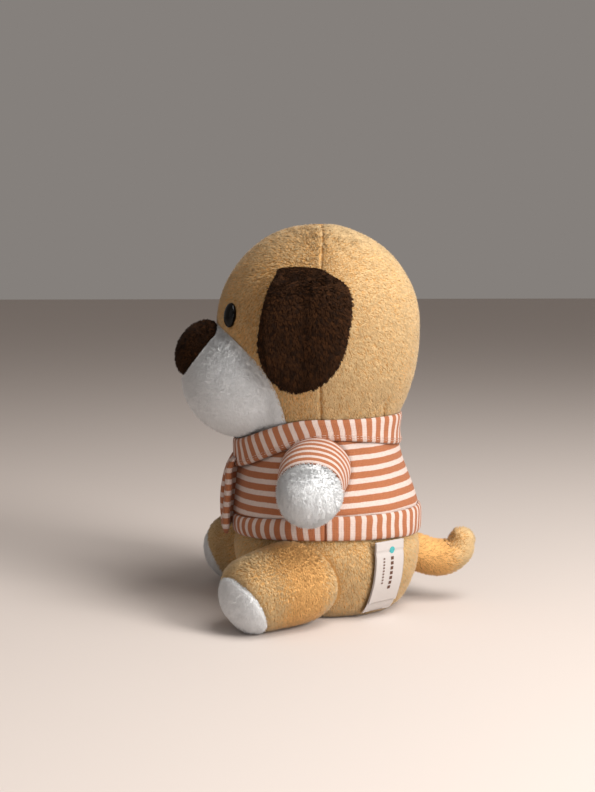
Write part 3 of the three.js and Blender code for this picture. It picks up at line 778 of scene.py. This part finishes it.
def make_ears(brown):
    shades, ground = brown
    edge_line = closed_curve(EAR, 150)[None]
    ring = np.linspace(0.02, 1, 56)[:, None] + 0 * edge_line[..., 0]
    crown = np.sqrt(np.maximum(0, 1 - ring ** 3.2))
    reach = np.linalg.norm(edge_line - EAR_MIDDLE, axis=-1)
    inset = 1 + 0.2 / reach
    for side, name in SIDES:
        for part, way in (("outer", 1), ("lining", -1)):
            low = smooth((165 - edge_line[..., 1]) / 30)
            groove = 0.22 * hump((ring - EAR_GROOVE) * reach, 0.9) * low * (way > 0)
            depth = way * (crown * (1.0 if way > 0 else 0.75) - groove - 0.12 * smooth((ring - 0.9) / 0.1))
            rows = ear_surface(side, ring * inset, depth, edge_line)
            rows[..., 0] += side * way * (ripple(rows, 17, 0.25, 50 + way) - 0.2) * crown
            points, faces = lofted(rows, cap_first=True)
            middle = points.mean(0) - np.array([side * way * 30, 0, 0])
            skin = build(f"ear_{name}_{part}_panel", points, faces, [ground], middle)
            spokes = np.arctan2(*(edge_line[0] - EAR_MIDDLE).T[::-1])
            order = np.argsort(spokes)

            def rim_share(p):
                flat = p[:, 1:] - EAR_MIDDLE
                whole = np.interp(np.arctan2(flat[:, 1], flat[:, 0]), spokes[order], reach[0][order])
                return np.linalg.norm(flat, axis=1) / whole

            def trim(p):
                return 1 - 0.3 * smooth((rim_share(p) - 0.86) / 0.1)

            def keep(p, front=way > 0):
                in_groove = np.abs(rim_share(p) - EAR_GROOVE + 0.02) < 0.012
                return ~(in_groove & (p[:, 2] < 158)) if front else np.ones(len(p), bool)

            pile = grow_pile(f"ear_{name}_{part}_pile", skin, shades, BROWN_PILE, steady([0, 0.1, -1.0]),
                             60 + 4 * side + way, keep, trim)
            upholster(f"ear_{name}_{part}")
            ride(f"ear_{name}", "brown_plush", skin, pile)


# ---- limbs ----
ARM = [(36, -7, 83.2, 18.2), (44, -9.2, 82.4, 18.4), (52, -11.4, 80.7, 18.1), (60, -13.2, 77.8, 17.4),
       (65, -14.1, 75.7, 16.8), (69.5, -14.8, 73.6, 15.9)]
LEG_LEFT = [(33, -6, 21.8, 16.5), (38.5, -11.5, 22.2, 19), (44, -17, 22.6, 21.2),
            (51, -27, 22.4, 22.2), (57, -36, 21.4, 21.2), (62, -43.9, 20, 19.8)]
LEG_RIGHT = [(-34, -6, 21.8, 16.5), (-38.5, -12.5, 22.2, 19.2), (-43, -20, 22.6, 21.4),
             (-48, -32, 22.4, 22.2), (-52.4, -43, 21.4, 21.2), (-56, -52.2, 20.2, 20)]
TAIL = [(0, 43.2, 31.2, 6.6), (0, 46.5, 30.1, 9.3), (0, 51.5, 28.7, 10.4), (0, 60, 25.6, 10.5),
        (0, 69, 25.4, 10.1), (0, 75.6, 28.9, 9), (0, 78.4, 35.4, 7.2)]
CUFF_AT, CUFF_WAY = np.array([63.6, -14, 76.6]), np.array([0.86, -0.12, -0.5])
ALMOST = 0.985          # a dome stops just short of its pole
SLEEVE_ROUND = 18.5     # radius that turns an angle round a sleeve into cloth millimetres


class Limb:
    """A rounded tube through stations (x, y, z, radius), with a dome of height `reach` over its end."""

    def __init__(self, stations, reach):
        self.rows = np.asarray(stations, float)
        self.reach = reach
        self.last = len(self.rows) - 1
        before, beyond = 2 * self.rows[0] - self.rows[1], 2 * self.rows[-1] - self.rows[-2]
        self.padded = np.vstack([before, self.rows, beyond])

    def at(self, q):
        k = np.clip(q.astype(int), 0, self.last - 1)
        t = (q - k)[..., None]
        return catmull_rom(*(self.padded[k + step] for step in range(4)), t)

    def point(self, s, a):
        """s counts stations along the limb and one more over its dome; a is the angle round it."""
        body = np.clip(s, 0, self.last)
        here = self.at(body)
        ahead, behind = (self.at(np.clip(body + step, 0, self.last)) for step in (0.02, -0.02))
        along = unit(ahead[..., :3] - behind[..., :3])
        side = unit(np.stack([-along[..., 1], along[..., 0], 0 * along[..., 0]], -1))
        dome = np.clip(s - self.last, 0, 1) * math.pi / 2
        centre = here[..., :3] + along * (self.reach * np.sin(dome))[..., None]
        radius = (here[..., 3] * np.cos(dome))[..., None]
        return centre + radius * (side * np.cos(a)[..., None] + np.cross(along, side) * np.sin(a)[..., None])

    def edge(self, a, inside, low, high):
        """For each angle, how far along the limb `inside` stays true."""
        return bisect(lambda s: inside(self.point(s, a)), np.full_like(a, low), np.full_like(a, high))

    def panel(self, start, end, a, rows, dents, lumps, seed):
        """Rows between two edges, dipped at the seams named in dents: (edge, depth, width)."""
        s = start + (end - start) * np.linspace(0, 1, rows)[:, None]
        p = self.point(s, a + 0 * s)
        run = np.cumsum(np.linalg.norm(np.diff(p, axis=0), axis=-1), 0)
        run = np.vstack([np.zeros_like(run[:1]), run])
        dent = ripple(p, 24, lumps, seed) - lumps * 0.6
        for edge, depth, width in dents:
            dent = dent + depth * hump(run if edge == "start" else run[-1:] - run, width)
        return p, normals_of(p, self.rows[self.last - 1, :3], True), dent, run


def make_legs(tan, white):
    a = circle(130)[None]
    for (side, name), stations in zip(SIDES, (LEG_LEFT, LEG_RIGHT)):
        limb = Limb(stations, 16)
        rows = limb.rows
        way = unit(np.append(rows[-1, :2] - rows[-2, :2], 0))
        sole_way = unit(way * 0.88 - np.array([0, 0, 0.48]))
        sole_at = np.append(rows[-1, :2], 20) + sole_way * 6.4
        hip = limb.edge(a, lambda p: clear_of(TORSO, p) < 0, 0, 4)
        seam = limb.edge(a, lambda p: (p - sole_at) @ sole_way < 0, 2, 6)
        seams = [("start", 0.9, 2.4), ("end", 0.9, 1.2)]
        p, out, dent, _ = limb.panel(hip - 0.12, seam, a, 70, seams, 0.35, 70)
        shin = sunk(p, out, dent)
        p, out, dent, _ = limb.panel(seam, 5 + ALMOST + 0 * seam, a, 34, [("start", 0.9, 1.2)], 0.3, 71)
        foot = sunk(p, out, dent)
        for part in (shin, foot):
            part[..., 2] = np.maximum(part[..., 2], 0.3)
        leg = build(f"leg_{name}_panel", *lofted(shin), [tan[1]], rows[3, :3])
        sole = build(f"sole_{name}_panel", *lofted(foot, cap_last=True), [white[1]], rows[4, :3])

        def trim(root):
            return 0.45 + 0.55 * smooth(clear_of(TORSO, root) / 3.5)

        def warm(root, middle=rows[3, :3], reach=way):
            along = (root - middle) @ reach
            return smooth(1.2 * hump(along + 2, 15) * smooth((root[:, 2] + 4) / 12))

        def rough(root):
            return 0.55 + 0.45 * smooth((root[:, 2] - 30) / 8)

        def keep(root):
            return (root[:, 2] > 0.4) & (clear_of(TORSO, root) > -0.3)

        nap = steady(way * 0.45 - np.array([0, 0, 0.6]))
        leg_pile = grow_pile(f"leg_{name}_pile", leg, tan[0], TAN_PILE, nap, 80 + side, keep, trim, warm,
                             rough)
        sole_pile = grow_pile(f"sole_{name}_pile", sole, white[0], WHITE_PILE._replace(length=1.6),
                              steady([0, 0, -1.0]), 84 + side, lambda root: root[:, 2] > 0.4)
        upholster(f"leg_{name}_skin")
        upholster(f"sole_{name}")
        ride(f"leg_{name}", "white_plush", sole, sole_pile)
        # the skin and its pile are not attached to the leg: they stay in place at the hip seam
        for thing in (leg, leg_pile):
            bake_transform(thing)


def make_arms(white):
    a = circle(120)[None]
    for side, name in SIDES:
        limb = Limb([(side * x, y, z, r) for x, y, z, r in ARM], 15)
        rows = limb.rows
        mirror = np.array([side, 1, 1])
        cuff_at, cuff_way = CUFF_AT * mirror, unit(CUFF_WAY * mirror)
        armhole = limb.edge(a, lambda p: clear_of(GARMENT, p) < 0, 0, 3.2)
        cuff = limb.edge(a, lambda p: (p - cuff_at) @ cuff_way < 0, 2, 5.6)
        p, out, dent, run = limb.panel(armhole - 0.04, cuff, a, 50, [("start", 0.9, 1.1)], 0.25, 90)
        p = p - out * (dent + 0.1)[..., None]
        rolled = np.stack([p[-1] - out[-1] * 1.0, p[-3] - out[-3] * 1.5])
        left = run[-1:] - run
        # painted shade at the armhole seam and in the roll of the cuff
        painted_crease_shade = 0.9 * hump(run, 0.7) + 0.45 * hump(left - 0.2, 0.5)
        cloth = np.stack([np.broadcast_to(a * SLEEVE_ROUND, run.shape), left, painted_crease_shade], -1)
        cloth = np.concatenate([cloth, cloth[-1:], cloth[-3:-2]])
        points, faces = lofted(np.concatenate([p, rolled]))
        jersey = striped_cloth(f"sleeve_{name}_jersey", 4.9, 1, 0.45)
        sleeve = build(f"sleeve_{name}_cloth", points, faces, [jersey], rows[3, :3], cloth.reshape(-1, 3),
                       TURN * SLEEVE_ROUND)
        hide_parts(f"sleeve_{name}")
        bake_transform(sleeve)
        seams = [("start", 0.9, 2.0)]
        p, out, dent, _ = limb.panel(cuff - 0.25, 5 + ALMOST + 0 * cuff, a, 50, seams, 0.3, 91)
        paw = build(f"paw_{name}_panel", *lofted(sunk(p, out, dent), cap_last=True), [white[1]], rows[4, :3])
        nap = steady([side * 0.7, -0.1, -0.8])
        pile = grow_pile(f"paw_{name}_pile", paw, white[0], FLUFFY_PILE, nap, 94 + side,
                         lambda root: (root - cuff_at) @ cuff_way > -0.2)
        upholster(f"paw_{name}")
        ride(f"arm_{name}", "white_plush", paw, pile)


def make_tail(tan):
    limb = Limb(TAIL, 6.4)
    a = circle(80)[None]
    p, out, dent, _ = limb.panel(1.0 + 0 * a, 6 + ALMOST + 0 * a, a, 76, [], 0.2, 100)
    skin = build("tail_panel", *lofted(sunk(p, out, dent), cap_last=True), [tan[1]], limb.rows[4, :3])
    # the tail takes the warm tone near the body and less towards its tip: painted shade near the body, with
    # the paler tone at the lit tip
    pile = grow_pile("tail_pile", skin, tan[0], TAN_PILE._replace(length=1.9), steady([0, 0.9, -0.1]), 101,
                     lambda root: root[:, 1] > 49, warm=lambda root: smooth((80 - root[:, 1]) / 14))
    upholster("tail_skin")
    for thing in (skin, pile):
        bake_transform(thing)


# ---- torso ----
def make_torso(tan):
    # balls where the legs and the tail leave the torso, which grows no pile there
    sockets = [(row[:3], row[3] - 0.6) for stations in (LEG_LEFT, LEG_RIGHT)
               for row in np.asarray(stations, float)[1:4]]
    sockets.append((np.array([0, 51.5, 28.7]), 9.6))

    def distance(root):
        return np.min([np.linalg.norm(root - at, axis=1) - r for at, r in sockets], 0)

    def keep(root):
        return (root[:, 2] > 0.5) & (root[:, 2] < 45) & (distance(root) > 0)

    def trim(root):
        return 0.5 + 0.5 * smooth(distance(root) / 3)

    for name, back in (("torso_back", True), ("torso_front", False)):
        first, last = (SIDE_SEAM, math.pi - SIDE_SEAM) if back else (math.pi - SIDE_SEAM, TURN + SIDE_SEAM)
        a = np.linspace(first, last, 170)[None]
        z = np.concatenate([[0.0], np.linspace(0.15, 60, 76)])[:, None]
        rows = around(TORSO, z + 0 * a, a + 0 * z)
        out = normals_of(rows, (0, 0, 20), False)
        apart = np.minimum(np.abs(a - first), np.abs(a - last)) * 50
        dent = 0.9 * hump(apart, 1.3) * smooth(z / 4) + (ripple(rows, 30, 0.25, 7) - 0.15) * smooth(z / 6)
        rows = sunk(rows, out, dent)
        rows[..., 2] = np.maximum(rows[..., 2], 0.2)
        rows[0, :, :2] *= 0.9
        skin = build(f"{name}_panel", *lofted(rows, wrap=False), [tan[1]], (0, 0, 30))
        pile = grow_pile(f"{name}_pile", skin, tan[0], TAN_PILE._replace(length=1.9), steady([0, 0.1, -1.0]),
                         111 if back else 112, keep, trim, lambda root: 0.2 + 0 * root[:, 0])
        upholster("torso_skin_back" if back else "torso_skin_front")
        ride("torso", "tan_plush", skin, pile)


# ---- cardigan ----
STRIPE = 6.3
HEM_SEAM = math.radians(-5.7)
BODY_ROUND = 49         # radius that turns an angle round the cardigan into cloth millimetres
BAND_LUMPS = (22, 0.25, 120)    # wavelength, height and seed of the bands' soft lumps
MIDDLE_Y = -2.0         # the cardigan's middle, which its cloth faces away from


def hem_top(c):
    return 58.6 - 5.6 * np.maximum(c, 0) ** 1.5


def hem_bottom(c):
    return 45.5 - 3 * c * c


def collar_top(c):
    return 95.5 + 14.5 * smooth((np.degrees(np.arccos(np.clip(c, -1, 1))) - 5) / 80)


def collar_bottom(c):
    return np.where(c > 0, 98.5 - 19 * np.maximum(c, 0) ** 1.66, 98.5 - 6.5 * c * c)


def collar_grow(c):
    return 2 * np.maximum(0, c) ** 5


def collar_top_at(p):
    c = -(p[:, 1] - HEAD_Y) / np.maximum(np.hypot(p[:, 0], p[:, 1] - HEAD_Y), 1e-6)
    return np.where(np.hypot(p[:, 0], p[:, 1] - HEAD_Y) < 47, collar_top(c), 0)


def away(p):
    """Level directions out of the cardigan at points on it."""
    return unit((p - np.array([0, MIDDLE_Y, 0])) * np.array([1, 1, 0]))


def band_angles(count, seams):
    """Even azimuths, with a few extra ones close to each seam."""
    a = (np.arange(count) + 0.5) / count * TURN
    steps = np.radians([-1.6, -0.9, -0.5, -0.2, 0, 0.2, 0.5, 0.9, 1.6])
    extra = [seam + step for seam in seams for step in steps]
    return np.sort(np.concatenate([a, np.mod(extra, TURN)]))


def band_piece(name, node, material, edges, grow, half_thick, seams, lean):
    """A folded band of cloth: up its rounded outer face, over the fold and down its inner face."""
    bottom, top = edges
    a = band_angles(240, seams)
    c = -np.sin(a)
    t = 0.5 - 0.5 * np.cos(np.linspace(0, math.pi, 20))
    swell = half_thick * (1 - np.abs(2 * t - 1) ** 5) ** 0.6
    t = np.concatenate([t, t[::-1][1:-1]])[:, None]
    swell = np.concatenate([swell, -swell[::-1][1:-1]])[:, None]
    height = top(c) - bottom(c)
    z = bottom(c) + height * t
    p = around(GARMENT, z, a + 0 * z, grow(c))
    out = away(p)
    from_seam = np.min([np.abs((a - s + math.pi) % TURN - math.pi) for s in seams], 0) * 50
    pinch = 0.9 * hump(from_seam, 0.7) * (swell > 0)
    p = p + out * (swell + (ripple(p, *BAND_LUMPS) * (swell > 0)) - pinch)[..., None]
    # stripes stand square to the band's run, and lean where it is rolled
    middle = around(GARMENT, (bottom(c) + top(c)) / 2, a, 0)
    step = np.linalg.norm(np.roll(middle, -1, 0) - middle, axis=-1)
    run = np.concatenate([[0], np.cumsum(step)[:-1]])
    slope = (np.roll(middle[:, 2], -1) - np.roll(middle[:, 2], 1)) / (step + np.roll(step, 1))
    u = run + (t - 0.5) * height * slope + lean(a, t)
    total = step.sum()
    u = u * STRIPE * round(total / STRIPE) / total
    # painted shade beside the seams and along the band's lower edges
    painted_crease_shade = 0.9 * hump(from_seam, 0.45) * (swell > 0) + 0.5 * hump(t * height, 0.5)
    cloth = np.stack([u, t * height, painted_crease_shade], -1)
    points, faces = lofted(np.concatenate([p, p[:1]]))
    cloth = np.concatenate([cloth, cloth[:1]])
    piece = build(name, points, faces, [material], None, cloth.reshape(-1, 3), STRIPE * round(total / STRIPE))
    weld(piece)
    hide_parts(node)
    ride("torso", "striped_knit", piece)


def stitches(name, points, out, length, thick, material):
    """A row of short threads: one six-sided bead per point, lying along the row."""
    along = unit(np.roll(points, -1, 0) - np.roll(points, 1, 0))
    side = np.cross(out, along)
    a = circle(6)
    all_points, faces = [], []
    for k, at in enumerate(points):
        rings = []
        for far, wide in ((-0.5, 0.3), (-0.3, 1), (0.3, 1), (0.5, 0.3)):
            around_it = np.cos(a)[:, None] * out[k] + np.sin(a)[:, None] * side[k]
            rings.append(at + along[k] * length * far + around_it * thick * wide / 2)
        bead, sides = lofted(np.stack(rings), cap_first=True, cap_last=True)
        first = sum(len(p) for p in all_points)
        all_points.append(bead)
        faces += [[v + first for v in f] for f in sides]
    piece = build(name, np.vstack(all_points), faces, [material])
    weld(piece)
    return piece


def collar_lean(a, t):
    """The collar rolls over at the sides, which sweeps its stripes back below the fold."""
    side_on = np.maximum(0, np.cos(2 * (a - 0.2)))
    return 2.0 * side_on * smooth((t - 0.3) / 0.7) - 0.8 * side_on * smooth((0.3 - t) / 0.3)


def hem_lean(a, t):
    ends = np.abs(np.sin(a)) ** 1.5
    return 1.3 * ends * np.sin((t - 0.1) * 4.2)


def make_cardigan():
    jersey = striped_cloth("body_jersey", 6.15, 1, 0.35)
    a = band_angles(300, [])
    c = -np.sin(a)
    low, high = hem_top(c) - 0.6, collar_bottom(c) + 0.8
    z = low + (high - low) * np.linspace(0, 1, 50)[:, None]
    rows = around(GARMENT, z, a + 0 * z, -0.6)
    out = away(rows)
    edge = np.minimum(z - low, high - z)
    limbs = np.array([(side * x, y, zed, r) for side in (1, -1) for x, y, zed, r in ARM[1:3]])
    gap = np.min([np.linalg.norm(rows - limb[:3], axis=-1) - limb[3] for limb in limbs], 0)
    placket = 1.9 * hump(rows[..., 0], 5.5) * (rows[..., 1] < 0)
    lift = ripple(rows, 26, 0.4, 130) - 0.9 * hump(edge, 1.4) - 0.8 * hump(gap, 1.6) + placket
    shell = rows + out * lift[..., None]
    loop = np.concatenate([shell, rows[::-1] - out[::-1] * 1.1, shell[:1]])
    # painted shade round the armholes and under the collar
    painted_crease_shade = 0.55 * hump(gap - 0.4, 0.9) + 0.5 * hump(high - z, 1.2)
    cloth = np.stack([np.broadcast_to(a * BODY_ROUND, z.shape), z + 1.6 * c, painted_crease_shade], -1)
    cloth = np.concatenate([cloth, cloth[::-1], cloth[:1]])
    body = build("cardigan_cloth", *lofted(loop), [jersey], None, cloth.reshape(-1, 3), TURN * BODY_ROUND)
    weld(body)
    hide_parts("sweater_body")
    ride("torso", "striped_knit", body)
    bands = striped_cloth("band_jersey", STRIPE, 0, 0.3)
    band_piece("collar_cloth", "collar_band", bands, (collar_bottom, collar_top), collar_grow, 1.5,
               [math.pi / 2], collar_lean)
    band_piece("hem_cloth", "hem_band", bands, (hem_bottom, hem_top), lambda c: -0.6, 1.35,
               [HEM_SEAM, math.pi - HEM_SEAM], hem_lean)
    thread, shader = new_material("topstitch_thread", (0.50, 0.34, 0.28), 0.55, 0.1, 0.3)
    vary_roughness(thread, shader, 900, 0.4, 0.6)
    a = np.arange(0, TURN, 2.3 / 47)
    c = -np.sin(a)
    for k, rise in enumerate((1.9, 3.1)):
        z = collar_bottom(c) + rise
        row = around(GARMENT, z, a, collar_grow(c) + 1.55)
        out = away(row)
        lumpy = row + out * ripple(row, *BAND_LUMPS)[:, None]
        seam = stitches(f"collar_topstitch_{k + 1}", lumpy, out, 1.5, 0.32, thread)
        ride("torso", "striped_knit", seam)
    ends = [striped_cloth(f"collar_end_jersey_{k}", STRIPE, 1, 0.35 + 0.45 * k) for k in (0, 1)]
    for (side, name), end in zip(SIDES, ends):
        make_collar_end(side, name, end)


def make_collar_end(side, name, material):
    """One hanging end of the collar: a soft folded strip with a pointed tip, thicker towards the middle."""
    z = np.concatenate([np.linspace(85, 46, 64), np.linspace(45.4, 41.8, 10)])
    y = np.interp(z, [42, 47, 54, 66, 75, 79, 82, 85], [-57, -56.8, -56.7, -56.2, -55.2, -54.2, -53, -51.4])
    y = y + (0.5 if side > 0 else -0.8) * smooth((82 - z) / 12)
    half = np.interp(z, [41.8, 44, 47, 54, 66, 75, 85], [0.5, 4, 6, 6.2, 6.1, 5.8, 5.0])
    thick = np.interp(z, [41.8, 44, 47, 66, 75, 80, 85], [0.8, 1.7, 2.1, 2.1, 2.1, 2.0, 1.2])
    a = circle(40)
    across = np.sign(np.cos(a)) * np.abs(np.cos(a)) ** 0.6
    through = np.sign(np.sin(a)) * np.abs(np.sin(a)) ** 0.75
    x = side * 7 + half[:, None] * across
    deep = y[:, None] + thick[:, None] * through
    # the inner edge rolls back towards the body
    inner = smooth(-across * side / 0.8)[None] * (np.sin(a) > 0)
    deep = deep + inner * (2.9 * smooth((84 - z) / 6) * smooth((z - 44) / 6))[:, None]
    deep = deep + 0.35 * np.sin(z / 5 + side)[:, None]
    rows = np.stack([x, deep, np.broadcast_to(z[:, None], x.shape)], -1)
    cloth = np.stack([x, np.broadcast_to(z[:, None], x.shape) - 0.25 * across * side], -1).reshape(-1, 2)
    points, faces = lofted(rows, cap_first=True, cap_last=True)
    cloth = np.vstack([cloth, [[side * 7, 85], [side * 7, 41.8]]])
    strip = build(f"collar_end_{name}_cloth", points, faces, [material], (side * 7, -55, 62), cloth)
    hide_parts(f"collar_end_{name}")
    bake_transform(strip)


# ---- label ----
LABEL_AZIMUTH, LABEL_WIDTH = math.radians(35.5), 20.0
LABEL_TOP = 44
LABEL_MIDDLE = (30, 22, 25)     # a point behind the pages, inside the torso


def label_point(w, z, offset):
    """A point on a label page: w across it, z its height, offset outwards from the torso."""
    c, s = math.cos(LABEL_AZIMUTH), math.sin(LABEL_AZIMUTH)
    outdir, crossdir = np.array([c, s, 0]), np.array([-s, c, 0])
    cy, rx, ry = np.moveaxis(outline(TORSO, z), -1, 0)
    far = 1 / np.hypot(outdir[0] / rx, outdir[1] / ry)
    far = np.where(z > 38.5, np.maximum(far, 51.3), far) + cy * outdir[1] + offset
    return outdir * far[..., None] + crossdir * w[..., None] + np.array([0, 0, 1.0]) * z[..., None]


def label_curl(w, z):
    return 0.25 * np.cos(w / 10 * math.pi / 2) + 0.5 * smooth((20 - z) / 16) * (w / 10) ** 2


def bar_mark(row, first, last, half):
    return [(first, row - half), (last, row - half), (last, row + half), (first, row + half)]


def dot_mark(row, across, size):
    sides = 14
    a = circle(sides)
    rim = [(across + size * math.cos(v), row + size * math.sin(v)) for v in a]
    return [[(across, row), rim[k], rim[(k + 1) % sides], (across, row)] for k in range(sides)]


def make_label():
    satin, shader = new_material("label_satin_white", (0.47, 0.43, 0.41), 0.3, 0.1, 0.5)
    add_bump(satin, shader, 2600, 0.15, 0.0001)
    inks = []
    for name, colour in (("label_ink", (0.10, 0.045, 0.03)), ("label_ink_accent", (0.06, 0.33, 0.34))):
        ink, ink_shader = new_material(name, colour, 0.6)
        vary_roughness(ink, ink_shader, 400, 0.5, 0.7)
        inks.append(ink)
    for name, low, offset in (("back", 3.6, 1.0), ("front", 9.5, 1.9)):
        half = LABEL_WIDTH / 2
        w, z = np.meshgrid(np.linspace(-half, half, 24), np.linspace(LABEL_TOP, low, 44))
        face = label_point(w, z, offset + label_curl(w, z))
        back = label_point(w, z, offset + label_curl(w, z) - 0.35)
        points, faces = lofted(np.concatenate([face, back[:, ::-1]], 1), cap_first=True, cap_last=True)
        page = build(f"label_{name}_page_cloth", points, faces, [satin], LABEL_MIDDLE)
        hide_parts(f"label_{name}_page")
        ride("label", "label_satin", page)
    # a dot, a column of plain blocks and a row of ticks, with no lettering
    marks = [(quad, 1) for quad in dot_mark(39.0, 1.2, 1.9)]
    marks += [(bar_mark(34.6 - 2.75 * k, 0.2, 2.2, 0.9), 0) for k in range(7)]
    marks += [(bar_mark(34.8 - 1.7 * k, -5.2, -4.0, 0.42), 0) for k in range(9)]
    corners = np.array([quad for quad, _ in marks]).reshape(-1, 2)
    w, z = corners[:, 0], corners[:, 1]
    points = label_point(w, z, 2.03 + label_curl(w, z))
    faces = np.arange(len(points)).reshape(-1, 4).tolist()
    print_marks = build("label_print", points, faces, inks, LABEL_MIDDLE)
    for face, (_, ink) in zip(print_marks.data.polygons, marks):
        face.material_index = ink
    ride("label", "label_satin", print_marks)


# ---- inner pieces ----
def finish_carried_nodes(tan):
    fibre, shader = new_material("fibre_filling_white", (0.85, 0.84, 0.81), 0.95, 0.3, 0.1)
    add_bump(fibre, shader, 500, 0.8, 0.001)
    washer, washer_shader = new_material("washer_plastic_white", (0.78, 0.78, 0.75), 0.5)
    vary_roughness(washer, washer_shader, 200, 0.4, 0.6)
    for name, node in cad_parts.items():
        finish = None
        if name.endswith("stuffing"):
            finish = fibre
        elif "washer" in name:
            finish = washer
        elif name == "base_panel":
            finish = tan[1]
        if finish:
            node.data.materials.clear()
            node.data.materials.append(finish)


# ---- assembly ----
add_camera()
add_studio()
add_floor()

# each plush is its fibre materials and the ground they grow from
# the last number of each ground darkens it as painted shade between the fibres
tan_plush = (fibre_shades("tan", (("fibre", TAN, 0.12), ("warm", TAN_WARM, 0.12)), 0.4),
             plush_ground("tan", TAN_WARM, 0.6))
white_plush = (fibre_shades("white", (("fibre", WHITE, 0.05),), 0.35), plush_ground("white", WHITE, 0.95))
brown_plush = (fibre_shades("brown", (("fibre", BROWN, 0.55),), 0.05), plush_ground("brown", BROWN, 0.5))

make_head(tan_plush)
make_muzzle(white_plush)
make_nose(brown_plush)
make_eyes()
make_ears(brown_plush)
make_torso(tan_plush)
make_cardigan()
make_arms(white_plush)
make_legs(tan_plush, white_plush)
make_tail(tan_plush)
make_label()
finish_carried_nodes(tan_plush)
